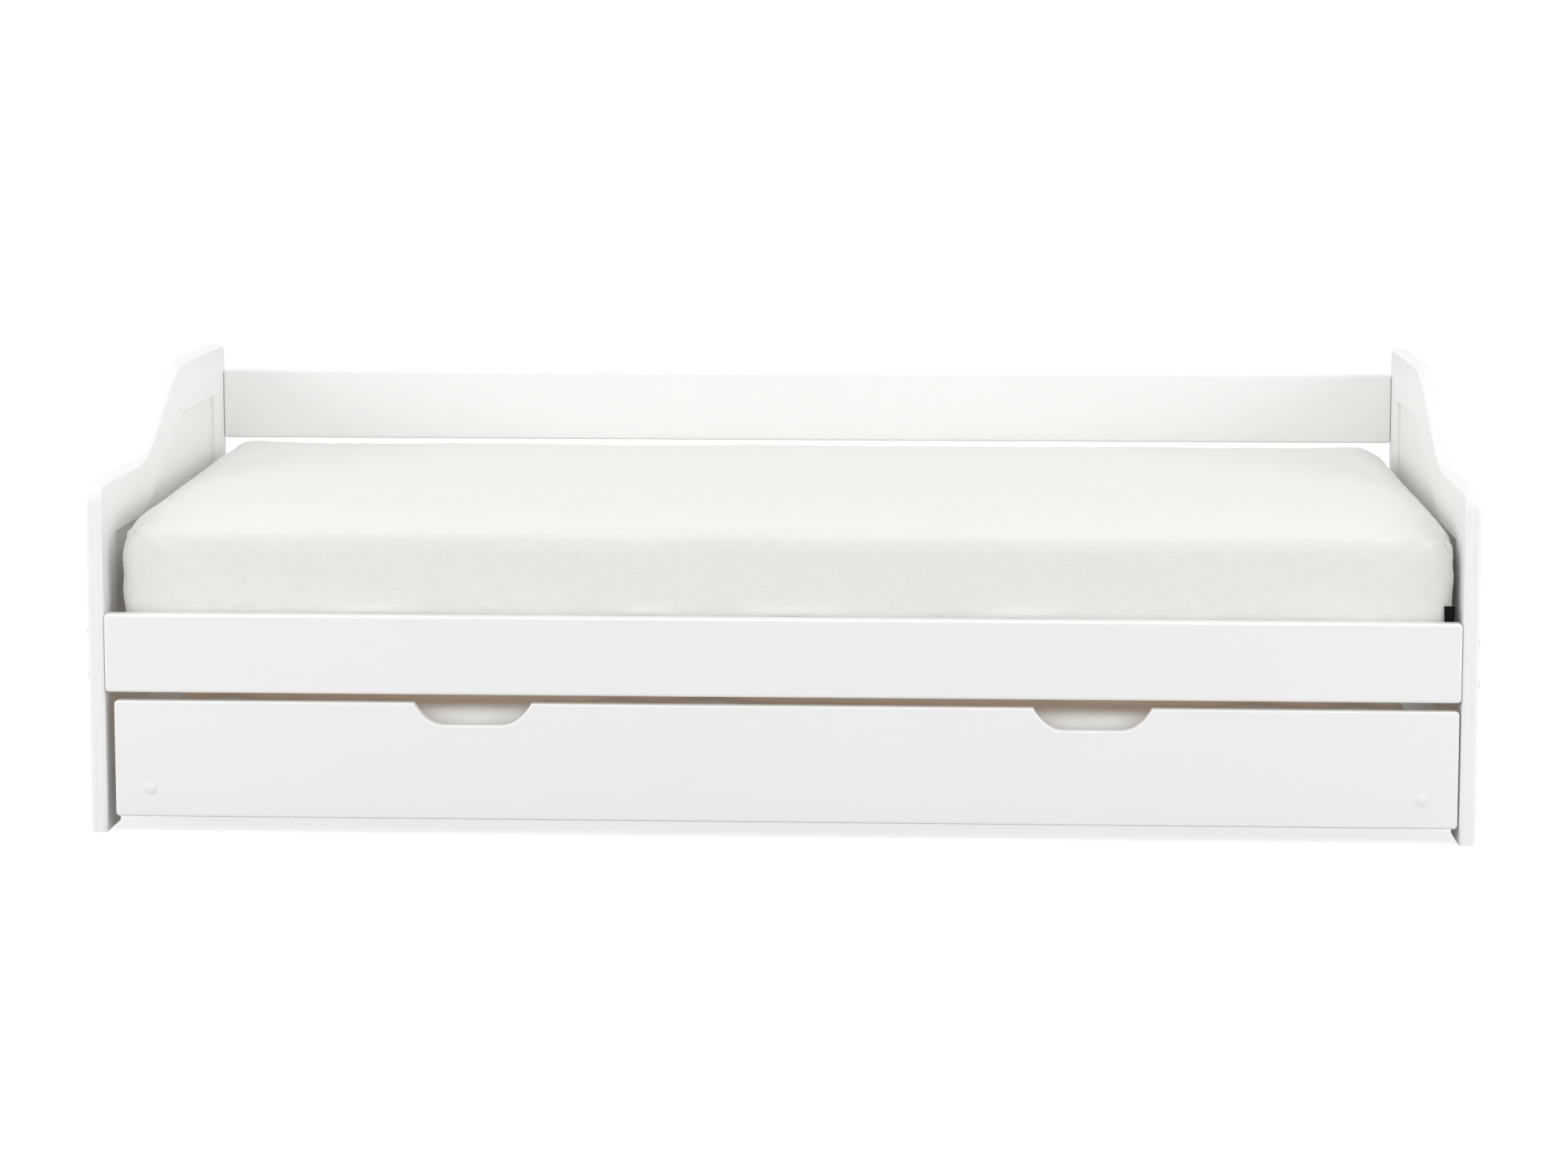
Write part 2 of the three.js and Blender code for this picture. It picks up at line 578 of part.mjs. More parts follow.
function castorAxle() {
  const headStart = FORK_OUTSIDE + FIT;
  const headEnd = headStart + AXLE_HEAD_LENGTH;
  const profile = [
    [0, -headEnd],
    [AXLE_HEAD_RADIUS - 1, -headEnd],
    [AXLE_HEAD_RADIUS, -headStart],
    [AXLE_RADIUS, -headStart],
    [AXLE_RADIUS, headStart],
    [AXLE_HEAD_RADIUS, headStart],
    [AXLE_HEAD_RADIUS - 1, headEnd],
    [0, headEnd],
  ];
  const points = profile.map(([radius, x]) => new THREE.Vector2(radius, x));
  return new THREE.LatheGeometry(points, AXLE_SIDES).rotateZ(-Math.PI / 2);
}

function buildCastors(trundle) {
  for (const [side, sign] of SIDES) {
    const places = [["front", TRAY_FRONT + CASTOR_SETBACK], ["rear", TRAY_BACK - CASTOR_SETBACK]];
    for (const [end, y] of places) {
      const castor = new THREE.Group();
      castor.position.set(sign * BEARER_END, y, WHEEL_RADIUS);
      piece(castor, `${end}_${side}_castor_fork`, castorFork(), zincSteel);
      piece(castor, `${end}_${side}_castor_axle`, castorAxle(), zincSteel);
      piece(castor, `${end}_${side}_castor_wheel`, castorWheel(), greyNylon);
      trundle.add(castor);
    }
  }
}

function buildTrundle() {
  const trundle = new THREE.Group();
  trundle.position.x = TRUNDLE_SHIFT;
  buildTray(trundle);
  buildTrayBase(trundle);
  buildTrundleMattress(trundle);
  buildCastors(trundle);
  return trundle;
}

const bed = new THREE.Group();
for (const [side, sign] of SIDES) bed.add(buildEnd(side, sign));
bed.add(buildRails(), buildSlatBase(), buildMattress(), buildTrundle());

export default bed;
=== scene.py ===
"""A white painted day bed with a pull-out trundle. In metres, with +Z up and the open side towards -Y."""

import math

import bpy
import numpy as np
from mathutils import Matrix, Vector, geometry
from mathutils.bvhtree import BVHTree


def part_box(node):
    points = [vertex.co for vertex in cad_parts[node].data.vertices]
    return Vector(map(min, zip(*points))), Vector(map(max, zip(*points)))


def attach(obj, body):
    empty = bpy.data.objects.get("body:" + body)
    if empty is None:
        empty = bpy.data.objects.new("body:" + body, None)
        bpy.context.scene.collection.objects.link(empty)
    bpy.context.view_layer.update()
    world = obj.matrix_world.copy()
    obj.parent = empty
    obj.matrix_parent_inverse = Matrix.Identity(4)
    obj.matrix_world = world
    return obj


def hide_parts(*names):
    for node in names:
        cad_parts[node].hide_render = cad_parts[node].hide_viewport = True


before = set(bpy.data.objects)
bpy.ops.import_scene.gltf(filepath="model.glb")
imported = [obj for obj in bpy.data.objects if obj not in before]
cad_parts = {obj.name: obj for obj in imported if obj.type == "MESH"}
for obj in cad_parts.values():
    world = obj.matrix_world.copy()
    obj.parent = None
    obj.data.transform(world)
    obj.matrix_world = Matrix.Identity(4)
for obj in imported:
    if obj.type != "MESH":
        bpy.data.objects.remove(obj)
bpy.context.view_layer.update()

# ---- End frames ----------------------------------------------------------------------------------
# Each end of the bed is a frame of boards round a thinner panel: two stiles that stand on the floor, a
# bottom rail, and a top rail whose edge sweeps up towards the back. The joints are tongued, glued, filled
# and sprayed over, so the frame shows as one board with softly rounded edges.
FACING_ALONG = (Vector((0, 1, 0)), Vector((0, 0, 1)), Vector((1, 0, 0)))
FACING_FRONT = (Vector((1, 0, 0)), Vector((0, 0, 1)), Vector((0, -1, 0)))
ROUNDING_STEPS = 6
SHARP_CORNER = 40  # degrees; a corner that turns by more keeps its own flat faces
END_EDGE = 0.0065
FOOT = 0.006  # each foot is drawn this much too long and is then cut off flat at the floor
OPENING_EDGE = 0.0018
FRONT_CORNER = 0.028
REAR_CORNER = 0.022
SWEEP_START = 0.255
SWEEP_LENGTH = 0.370
SWEEP_EASE = 0.135
SWEEP_STEPS = 28
WHITE = (0.878, 0.879, 0.869, 1)


def arc(centre, radius, start, end, steps=8):
    """Points round part of a circle in a board's own plane. Angles are in degrees."""
    turns = np.radians(np.linspace(start, end, steps + 1))
    return [(centre[0] + radius * math.cos(turn), centre[1] + radius * math.sin(turn)) for turn in turns]


def inward(outline):
    """How each corner of an outline moves when the outline shrinks by one, and the way in from each side.

    The wood lies on the outline's left.
    """
    points = np.array(outline, float)
    along = np.roll(points, -1, axis=0) - points
    along /= np.linalg.norm(along, axis=1)[:, None]
    after = np.stack([-along[:, 1], along[:, 0]], axis=1)
    before = np.roll(after, 1, axis=0)
    return (before + after) / (1 + (before * after).sum(axis=1))[:, None], after


def shown(name, mesh):
    """A new object for a mesh."""
    piece = bpy.data.objects.new(name, mesh)
    bpy.context.scene.collection.objects.link(piece)
    return piece


def rounded_board(name, loops, plane, low, high):
    """A board with rounded edges, from its outline and any opening, each with its edge radius.

    The outlines lie in the plane's first two directions, and the board runs from low to high along its third.
    """
    across, up, through = (np.array(direction) for direction in plane)
    verts, normals, edge, faces, first_rings, last_rings = [], [], [], [], [], []
    quarter = np.linspace(0, math.pi / 2, ROUNDING_STEPS + 1)
    for outline, radius in loops:
        points, (move, sides) = np.array(outline, float), inward(outline)
        smooth = -move / np.linalg.norm(move, axis=1)[:, None]
        sharp = (smooth * -sides).sum(axis=1) < math.cos(math.radians(SHARP_CORNER / 2))
        lower = [(low + radius * (1 - math.cos(a)), math.sin(a), -math.cos(a)) for a in quarter]
        upper = [(high - radius * (1 - math.cos(a)), math.sin(a), math.cos(a)) for a in quarter[::-1]]
        count, before = len(points), None
        first_rings.append(len(verts))
        for height, side, face in lower + upper:
            ring = len(verts)
            flat = points + radius * (1 - side) * move
            verts.extend(flat[:, :1] * across + flat[:, 1:] * up + height * through)
            edge.extend([abs(2 * side * face)] * count)
            here = (side, face)
            if before:
                for i in range(count):
                    j = (i + 1) % count
                    faces.append((ring - count + i, ring - count + j, ring + j, ring + i))
                    for corner, (out, flatness) in ((i, before), (j, before), (j, here), (i, here)):
                        way = -sides[i] if sharp[corner] else smooth[corner]
                        normals.append((way[0] * across + way[1] * up) * out + through * flatness)
            before = here
        last_rings.append(len(verts) - count)
    flat = []
    for outline, radius in loops:
        shrunk = np.array(outline) + radius * inward(outline)[0]
        flat.append([Vector((*point, 0)) for point in shrunk])
    corners = [point for loop in flat for point in loop]
    for rings, facing in ((first_rings, -1), (last_rings, 1)):
        place = [ring + i for ring, loop in zip(rings, flat) for i in range(len(loop))]
        for a, b, c in geometry.tessellate_polygon(flat):
            turn = (corners[b] - corners[a]).cross(corners[c] - corners[a]).z
            triangle = (place[a], place[b], place[c])
            faces.append(triangle if turn * facing > 0 else triangle[::-1])
            normals.extend([through * facing] * 3)
    mesh = bpy.data.meshes.new(name)
    mesh.from_pydata(verts, [], faces)
    # The edge value is highest halfway round each rounding; the paint lightens its colour there as a painted
    # highlight.
    mesh.attributes.new("edge", "FLOAT", "POINT").data.foreach_set("value", edge)
    mesh.polygons.foreach_set("use_smooth", [True] * len(faces))
    mesh.normals_split_custom_set(normals)
    return shown(name, mesh)


def finished(piece, body, slot_name, material, *nodes):
    """Gives a piece its material and body, and hides the CAD nodes that it stands for; slot_name is not used.
    """
    if material:
        piece.data.materials.clear()
        piece.data.materials.append(material)
    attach(piece, body)
    if nodes:
        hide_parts(*nodes)
    return piece


def group_of(name, inputs, kind="ShaderNodeTree", outputs=("Colour", "Roughness", "Normal")):
    """A new node group with its named sockets, and the nodes at its two ends."""
    tree = bpy.data.node_groups.new(name, kind)
    kinds = {"Colour": "NodeSocketColor", "Roughness": "NodeSocketFloat", "Normal": "NodeSocketVector"}
    for label, (socket_kind, value) in inputs.items():
        socket = tree.interface.new_socket(label, in_out="INPUT", socket_type="NodeSocket" + socket_kind)
        if value is not None:
            socket.default_value = value
    for label in outputs:
        socket_type = kinds.get(label, "NodeSocketGeometry")
        tree.interface.new_socket(label, in_out="OUTPUT", socket_type=socket_type)
    return tree, tree.nodes.new("NodeGroupInput").outputs, tree.nodes.new("NodeGroupOutput").inputs


def fill(tree, socket, value):
    """Links another node's socket into a socket, or sets a plain value there."""
    if isinstance(value, bpy.types.NodeSocket):
        tree.links.new(value, socket)
    elif value is not None:
        socket.default_value = value


def node(tree, kind, **settings):
    """A new node. A setting with a capital letter is an input, and any other is the node's own option."""
    made = tree.nodes.new(kind)
    for key, value in settings.items():
        if key[0].isupper():
            fill(tree, made.inputs[key.replace("_", " ")], value)
        else:
            setattr(made, key, value)
    return made


def maths(tree, operation, *operands):
    """A Math node's value."""
    made = node(tree, "ShaderNodeMath", operation=operation)
    for socket, value in zip(made.inputs, operands):
        fill(tree, socket, value)
    return made.outputs[0]


def moved(tree, operation, place, by):
    """A place that is scaled or shifted by a vector."""
    made = node(tree, "ShaderNodeVectorMath", operation=operation)
    fill(tree, made.inputs[0], place)
    fill(tree, made.inputs[1], by)
    return made.outputs[0]


def noise(tree, place, scale, detail=2.0, roughness=0.5):
    """A Noise texture's value at a place."""
    made = node(tree, "ShaderNodeTexNoise", Vector=place, Scale=scale, Detail=detail, Roughness=roughness)
    return made.outputs["Fac"]


def mixed(tree, mask, first, second, blend_type="MIX"):
    """A colour between two colours, by a mask."""
    made = node(tree, "ShaderNodeMix", data_type="RGBA", blend_type=blend_type)
    fill(tree, made.inputs[0], mask)
    fill(tree, made.inputs[6], first)
    fill(tree, made.inputs[7], second)
    return made.outputs[2]


def toned(tree, colour, tone):
    """A colour made lighter or darker by a value."""
    grey = node(tree, "ShaderNodeCombineColor", Red=tone, Green=tone, Blue=tone)
    return mixed(tree, 1.0, colour, grey.outputs[0], "MULTIPLY")


def raised(tree, height, distance, under=None):
    """The normal of a surface with this height on it, over another bump's normal if there is one."""
    bump = node(tree, "ShaderNodeBump", Strength=1.0, Distance=distance, Height=height, Normal=under)
    return bump.outputs[0]


def object_place(tree):
    """Object coordinates, which are the bed's own."""
    return node(tree, "ShaderNodeTexCoord").outputs["Object"]


def measured(tree, name):
    """A value that a mesh holds."""
    return node(tree, "ShaderNodeAttribute", attribute_name=name).outputs["Fac"]


def material_of(name, group, values, **settings):
    """A material with its colour, roughness and normal from a group, and the rest on the shader itself."""
    made = bpy.data.materials.new(name)
    made.use_nodes = True
    tree = made.node_tree
    shader = tree.nodes["Principled BSDF"]
    effect = node(tree, "ShaderNodeGroup", node_tree=group)
    for label, value in values.items():
        effect.inputs[label].default_value = value
    for ours, theirs in (("Colour", "Base Color"), ("Roughness", "Roughness"), ("Normal", "Normal")):
        tree.links.new(effect.outputs[ours], shader.inputs[theirs])
    for label, value in settings.items():
        shader.inputs[label.replace("_", " ")].default_value = value
    return made


def make_paint():
    """Sprayed satin paint: fine orange peel, a trace of the wood under it, and edges that are a little
    smoother, with a painted highlight that lightens their colour.
    """
    given_sockets = {
        "Colour": ("Color", WHITE),
        "Roughness": ("Float", 0.4),
        "Grain": ("Vector", (3, 60, 60)),
    }
    tree, given, out = group_of("sprayed_paint", given_sockets)
    place = object_place(tree)
    peel = noise(tree, place, 420)
    cloud = noise(tree, place, 5, 3)
    grain = noise(tree, moved(tree, "MULTIPLY", place, given["Grain"]), 4, 5, 0.6)
    edge = measured(tree, "edge")
    tone = maths(tree, "MULTIPLY_ADD", cloud, 0.02, 0.982)
    tone = maths(tree, "MULTIPLY_ADD", grain, 0.008, tone)
    # The edge value lightens the colour on the rounded edges as a painted highlight, and below it makes them
    # a little smoother.
    tone = maths(tree, "MULTIPLY_ADD", edge, 0.04, tone)
    fill(tree, out["Colour"], toned(tree, given["Colour"], tone))
    rough = maths(tree, "MULTIPLY_ADD", cloud, 0.08, given["Roughness"])
    fill(tree, out["Roughness"], maths(tree, "MULTIPLY_ADD", edge, -0.08, rough))
    fill(tree, out["Normal"], raised(tree, peel, 0.00005, raised(tree, grain, 0.0001)))
    return tree


PAINT = make_paint()
SATIN = {"Coat_Weight": 0.1, "Coat_Roughness": 0.3}
painted_lengthwise = material_of("white_paint_lengthwise", PAINT, {}, **SATIN)
painted_upright = material_of("white_paint_upright", PAINT, {"Grain": (60, 14, 3)}, **SATIN)


def sweep(handles, steps):
    """Points along the smooth curve that four handles draw."""
    t = np.linspace(0, 1, steps + 1)[:, None]
    shares = (1 - t) ** 3, 3 * t * (1 - t) ** 2, 3 * t * t * (1 - t), t**3
    points = sum(share * np.array(handle) for share, handle in zip(shares, handles))
    return [tuple(point) for point in points]


def swept_edge(low, high):
    """The end frame's swept edge from front to back as (y, z) points, level at both ends."""
    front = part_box("left_front_stile")[0].y + SWEEP_START
    back = front + SWEEP_LENGTH
    handles = (front, low), (front + SWEEP_EASE, low), (back - SWEEP_EASE, high), (back, high)
    return sweep(handles, SWEEP_STEPS)


for side in ("left", "right"):
    front_stile, rear_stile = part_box(f"{side}_front_stile"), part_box(f"{side}_rear_stile")
    bottom_rail, top_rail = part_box(f"{side}_bottom_rail"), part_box(f"{side}_top_rail")
    front, back = front_stile[0].y, rear_stile[1].y
    front_inner, rear_inner = front_stile[1].y, rear_stile[0].y
    front_top, back_top = front_stile[1].z, rear_stile[1].z
    band = front_top - top_rail[0].z
    outline = [(front, -FOOT), (front_inner, -FOOT), (front_inner, bottom_rail[0].z)]
    outline += [(rear_inner, bottom_rail[0].z), (rear_inner, -FOOT), (back, -FOOT)]
    outline += arc((back - REAR_CORNER, back_top - REAR_CORNER), REAR_CORNER, 0, 90)
    outline += swept_edge(front_top, back_top)[::-1]
    outline += arc((front + FRONT_CORNER, front_top - FRONT_CORNER), FRONT_CORNER, 90, 180)
    opening = [(front_inner, bottom_rail[1].z), (front_inner, front_top - band)]
    opening += swept_edge(front_top - band, back_top - band)
    opening += [(rear_inner, back_top - band), (rear_inner, bottom_rail[1].z)]
    loops = [(outline, END_EDGE), (opening, OPENING_EDGE)]
    end_frame = rounded_board(f"{side}_end_frame", loops, FACING_ALONG, front_stile[0].x, front_stile[1].x)
    for corner in end_frame.data.vertices:
        corner.co.z = max(corner.co.z, 0)
    boards = [f"{side}_{part}" for part in ("front_stile", "rear_stile", "top_rail", "bottom_rail")]
    finished(end_frame, "bed", "white_paint", painted_upright, *boards)


def refinish(name, material):
    """A CAD node keeps its shape and gets a finish."""
    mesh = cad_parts[name].data
    mesh.materials.clear()
    mesh.materials.append(material)


for side in ("left", "right"):
    refinish(f"{side}_panel", painted_upright)

# ---- Long rails ----------------------------------------------------------------------------------
# Three painted boards run between the ends: the side rail at the front, and an upper and a lower rail at
# the back. Their edges are rounded over, and two bolts through each stile pull them tight.
RAIL_EDGE = 0.0045
RAIL_CORNER = 0.006


def rounded_rectangle(left, right, bottom, top, corner, steps=4):
    """An outline with rounded corners."""
    return (
        arc((right - corner, bottom + corner), corner, -90, 0, steps)
        + arc((right - corner, top - corner), corner, 0, 90, steps)
        + arc((left + corner, top - corner), corner, 90, 180, steps)
        + arc((left + corner, bottom + corner), corner, 180, 270, steps)
    )


def flat_board(name, node_name, plane, edge, body, material):
    """A rectangular painted board in place of a CAD one."""
    low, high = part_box(node_name)
    across, up, through = plane
    outline = rounded_rectangle(low.dot(across), high.dot(across), low.dot(up), high.dot(up), RAIL_CORNER)
    board = rounded_board(name, [(outline, edge)], plane, *sorted((low.dot(through), high.dot(through))))
    return finished(board, body, "white_paint", material, node_name)


for rail in ("front_side_rail", "upper_back_rail", "lower_back_rail"):
    flat_board(f"{rail}_board", rail, FACING_FRONT, RAIL_EDGE, "bed", painted_lengthwise)

# ---- Slat base -----------------------------------------------------------------------------------
# Thirteen birch slats lie across two softwood ledgers that are screwed inside the rails. Two woven straps
# are stapled over the slats and keep them an even distance apart.
SLAT_EDGE = 0.003
LEDGER_EDGE = 0.002
STRAP_EDGE = 0.0005
FIBRE_ALONG_Y = (22, 1.2, 22)
FIBRE_ALONG_X = (1.2, 22, 22)


def make_wood():
    """Planed softwood: growth lines and fine fibres along the grain, each board a little different."""
    given_sockets = {
        "Light": ("Color", (0.78, 0.62, 0.42, 1)),
        "Dark": ("Color", (0.64, 0.44, 0.25, 1)),
        "Fibre": ("Vector", FIBRE_ALONG_X),
        "Roughness": ("Float", 0.6),
    }
    tree, given, out = group_of("planed_wood", given_sockets)
    board = measured(tree, "board")
    apart = node(tree, "ShaderNodeCombineXYZ", X=maths(tree, "MULTIPLY", board, 31.0), Y=board, Z=board)
    place = moved(tree, "ADD", object_place(tree), apart.outputs[0])
    drawn = moved(tree, "MULTIPLY", place, given["Fibre"])
    growth = maths(tree, "SINE", maths(tree, "MULTIPLY", noise(tree, drawn, 1, 2), 70.0))
    fibre = noise(tree, moved(tree, "MULTIPLY", drawn, (8, 8, 8)), 3, 4, 0.65)
    lines = maths(tree, "MULTIPLY_ADD", growth, 0.22, 0.5)
    lines = maths(tree, "MULTIPLY_ADD", fibre, 0.5, maths(tree, "SUBTRACT", lines, 0.25))
    colour = mixed(tree, lines, given["Dark"], given["Light"])
    fill(tree, out["Colour"], toned(tree, colour, maths(tree, "MULTIPLY_ADD", board, 0.14, 0.9)))
    fill(tree, out["Roughness"], maths(tree, "MULTIPLY_ADD", fibre, 0.15, given["Roughness"]))
    fill(tree, out["Normal"], raised(tree, fibre, 0.0002))
    return tree


WOOD = make_wood()
pine_across = material_of("pine_across", WOOD, {"Fibre": FIBRE_ALONG_Y})
pine_lengthwise = material_of("pine_lengthwise", WOOD, {})
BIRCH = {"Light": (0.8, 0.64, 0.44, 1), "Dark": (0.7, 0.5, 0.3, 1), "Roughness": 0.45}
birch_across = material_of("birch_across", WOOD, {**BIRCH, "Fibre": FIBRE_ALONG_Y}, Coat_Weight=0.15)


def make_tape():
    """Woven tape: ribs across it, finer threads along it, and some wear."""
    given_sockets = {
        "Colour": ("Color", (0.62, 0.6, 0.53, 1)),
        "Ribs": ("Vector", (1800, 0, 0)),
        "Threads": ("Vector", (0, 2600, 2600)),
    }
    tree, given, out = group_of("woven_tape", given_sockets)
    place = object_place(tree)

    def wave(direction):
        made = node(tree, "ShaderNodeVectorMath", operation="DOT_PRODUCT")
        fill(tree, made.inputs[0], place)
        fill(tree, made.inputs[1], direction)
        return maths(tree, "SINE", made.outputs["Value"])

    crossed = maths(tree, "MULTIPLY", wave(given["Ribs"]), wave(given["Threads"]))
    weave = maths(tree, "MULTIPLY_ADD", crossed, 0.5, 0.5)
    wear = noise(tree, place, 60, 3)
    tone = maths(tree, "MULTIPLY_ADD", weave, 0.2, maths(tree, "MULTIPLY_ADD", wear, 0.2, 0.72))
    fill(tree, out["Colour"], toned(tree, given["Colour"], tone))
    fill(tree, out["Roughness"], maths(tree, "MULTIPLY_ADD", wear, 0.2, 0.7))
    fill(tree, out["Normal"], raised(tree, weave, 0.0003))
    return tree


TAPE = make_tape()
strap_weave = material_of("strap_weave", TAPE, {}, Sheen_Weight=0.2)


def made_real(tree, instances, material):
    """Instances made real, with their material."""
    real = node(tree, "GeometryNodeRealizeInstances", Geometry=instances)
    return node(tree, "GeometryNodeSetMaterial", Geometry=real.outputs[0], Material=material).outputs[0]


def make_board_row():
    """A tree for a row of like boards: a rounded section drawn along one board, set out along a line."""
    given_sockets = {
        "Count": ("Int", 1),
        "First": ("Vector", (0, 0, 0)),
        "Step": ("Vector", (0, 0, 0)),
        "Run": ("Vector", (1, 0, 0)),
        "Section Width": ("Float", 0.02),
        "Thickness": ("Float", 0.01),
        "Edge": ("Float", 0.002),
        "Material": ("Material", None),
        "Seed": ("Int", 1),
    }
    tree, given, out = group_of("row_of_boards", given_sockets, "GeometryNodeTree", ("Boards",))
    line = node(tree, "GeometryNodeCurvePrimitiveLine", End=given["Run"])
    path = node(tree, "GeometryNodeSetCurveNormal", mode="Z_UP", Curve=line.outputs[0])
    section = node(tree, "GeometryNodeCurvePrimitiveQuadrilateral")
    fill(tree, section.inputs["Width"], given["Section Width"])
    fill(tree, section.inputs["Height"], given["Thickness"])
    rounded = node(tree, "GeometryNodeFilletCurve", mode="POLY", Count=3)
    fill(tree, rounded.inputs["Curve"], section.outputs[0])
    fill(tree, rounded.inputs["Radius"], given["Edge"])
    board = node(tree, "GeometryNodeCurveToMesh", Curve=path.outputs[0], Fill_Caps=True)
    fill(tree, board.inputs["Profile Curve"], rounded.outputs[0])
    places = node(
        tree,
        "GeometryNodeMeshLine",
        mode="OFFSET",
        Count=given["Count"],
        Start_Location=given["First"],
        Offset=given["Step"],
    )
    row = node(tree, "GeometryNodeInstanceOnPoints", Points=places.outputs[0], Instance=board.outputs[0])
    chance = node(tree, "FunctionNodeRandomValue", data_type="FLOAT", Seed=given["Seed"])
    named = node(
        tree,
        "GeometryNodeStoreNamedAttribute",
        data_type="FLOAT",
        domain="INSTANCE",
        Geometry=row.outputs[0],
        Name="board",
        Value=chance.outputs[1],
    )
    fill(tree, out["Boards"], made_real(tree, named.outputs[0], given["Material"]))
    return tree


def plain(holder):
    """The mesh that an object's modifiers give, without the object."""
    evaluated = holder.evaluated_get(bpy.context.evaluated_depsgraph_get())
    mesh = bpy.data.meshes.new_from_object(evaluated)
    bpy.data.objects.remove(holder)
    return mesh


def grown(name, tree, values, start=None, sharp=25):
    """The plain piece that a Geometry Nodes tree makes, from a start mesh where it needs one."""
    holder = shown("making_" + name, start or bpy.data.meshes.new("start"))
    modifier = holder.modifiers.new("make", "NODES")
    modifier.node_group = tree
    for item in tree.interface.items_tree:
        if item.in_out == "INPUT" and item.name in values:
            modifier[item.identifier] = values[item.name]
    mesh = plain(holder)
    mesh.polygons.foreach_set("use_smooth", [True] * len(mesh.polygons))
    mesh.set_sharp_from_angle(angle=math.radians(sharp))
    return shown(name, mesh)


BOARD_ROW = make_board_row()


def board_row(name, nodes, run, edge, material, body, slot_name, seed):
    """A row of boards in place of like CAD nodes. run is 0 where the boards lie along X, and 1 along Y."""
    boxes = [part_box(node_name) for node_name in nodes]
    (low, high), (last, _) = boxes[0], boxes[-1]
    middle, size = (low + high) / 2, high - low
    first, along = middle.copy(), Vector((0, 0, 0))
    first[run], along[run] = low[run], size[run]
    values = {
        "Count": len(nodes),
        "First": first,
        "Step": (last - low) / max(len(nodes) - 1, 1),
        "Run": along,
        "Section Width": size[1 - run],
        "Thickness": size.z,
        "Edge": edge,
        "Material": material,
        "Seed": seed,
    }
    return finished(grown(name, BOARD_ROW, values), body, slot_name, None, *nodes)


SLAT_NODES = [f"bed_slat_{number:02d}" for number in range(1, 14)]
board_row("bed_slats", SLAT_NODES, 1, SLAT_EDGE, birch_across, "bed", "birch_slat", 3)
for number, side in enumerate(("front", "back")):
    ledger, strap = f"{side}_slat_ledger", f"{side}_slat_webbing"
    board_row(f"{ledger}_strip", [ledger], 0, LEDGER_EDGE, pine_lengthwise, "bed", "pine", 5 + number)
    board_row(f"{strap}_strap", [strap], 0, STRAP_EDGE, strap_weave, "bed", "webbing", 7)

# ---- Bed fasteners -------------------------------------------------------------------------------
# Two bolts in each rail end, whose heads on the outside of the stiles wear pressed-in white caps, a
# countersunk cross-head screw at each end of each slat, and a wire staple where a strap crosses a slat.
CAP_RADIUS = 0.0075
CAP_RISE = 0.0018
CAP_SKIRT = 0.0004
BOLT_SPACING = 0.064
SCREW_RADIUS = 0.004
STAPLE_WIDTH = 0.010
STAPLE_WIRE = 0.0006
FASTENER_SHARP = 35


def turned(name, profile, sides, shape=None):
    """A mesh turned about Z from (radius, height) points, which end on the axis or close on themselves.

    shape holds the numbers of some rings, and a function that gives their share of the radius at an angle.
    """
    verts, rings, faces = [], [], []
    for step, (radius, height) in enumerate(profile):
        if radius == 0:
            rings.append([len(verts)] * sides)
            verts.append((0, 0, height))
            continue
        rings.append(range(len(verts), len(verts) + sides))
        for turn in np.linspace(0, 2 * math.pi, sides, endpoint=False):
            reach = radius * (shape[1](turn) if shape and step in shape[0] else 1)
            verts.append((reach * math.cos(turn), reach * math.sin(turn), height))
    pairs = list(zip(rings, rings[1:]))
    if profile[0][0] != 0:
        pairs.append((rings[-1], rings[0]))
    for lower, upper in pairs:
        for i in range(sides):
            j = (i + 1) % sides
            face = list(dict.fromkeys((lower[i], lower[j], upper[j], upper[i])))
            if len(face) > 2:
                faces.append(face)
    mesh = bpy.data.meshes.new(name)
    mesh.from_pydata(verts, [], faces)
    return mesh


def dome(radius, rise, skirt, steps=5):
    """The profile of a low dome on a short skirt."""
    bend = (radius**2 + rise**2) / (2 * rise)
    spread = math.asin(radius / bend)
    slopes = np.linspace(spread, 0, steps + 1)
    cap = [(bend * math.sin(a), skirt + rise - bend * (1 - math.cos(a))) for a in slopes[:-1]]
    return [(0, 0), (radius, 0), *cap, (0, skirt + rise)]


def cross(turn):
    """A cross recess: how far its wall lies from the middle, as a share of its widest."""
    return 0.42 + 0.58 * abs(math.cos(2 * turn)) ** 3


def make_setting():
    """A tree that sets a copy of a fastener on each point, facing one way, each turned by chance."""
    given_sockets = {
        "Points": ("Geometry", None),
        "Fastener": ("Object", None),
        "Facing": ("Vector", (0, 0, 1)),
        "Turn": ("Float", 0.0),
        "Material": ("Material", None),
        "Seed": ("Int", 1),
    }
    tree, given, out = group_of("set_fasteners", given_sockets, "GeometryNodeTree", ("Fasteners",))
    head = node(tree, "GeometryNodeObjectInfo", Object=given["Fastener"])
    chance = node(tree, "FunctionNodeRandomValue", data_type="FLOAT", Seed=given["Seed"])
    spin = node(tree, "FunctionNodeAxisAngleToRotation", Axis=(0, 0, 1))
    fill(tree, spin.inputs["Angle"], maths(tree, "MULTIPLY", chance.outputs[1], given["Turn"]))
    faced = node(tree, "FunctionNodeAlignRotationToVector", axis="Z", Vector=given["Facing"])
    way = node(tree, "FunctionNodeRotateRotation", rotation_space="LOCAL")
    fill(tree, way.inputs[0], faced.outputs[0])
    fill(tree, way.inputs[1], spin.outputs[0])
    heads = node(
        tree,
        "GeometryNodeInstanceOnPoints",
        Points=given["Points"],
        Instance=head.outputs["Geometry"],
        Rotation=way.outputs[0],
    )
    fill(tree, out["Fasteners"], made_real(tree, heads.outputs[0], given["Material"]))
    return tree


SETTING = make_setting()


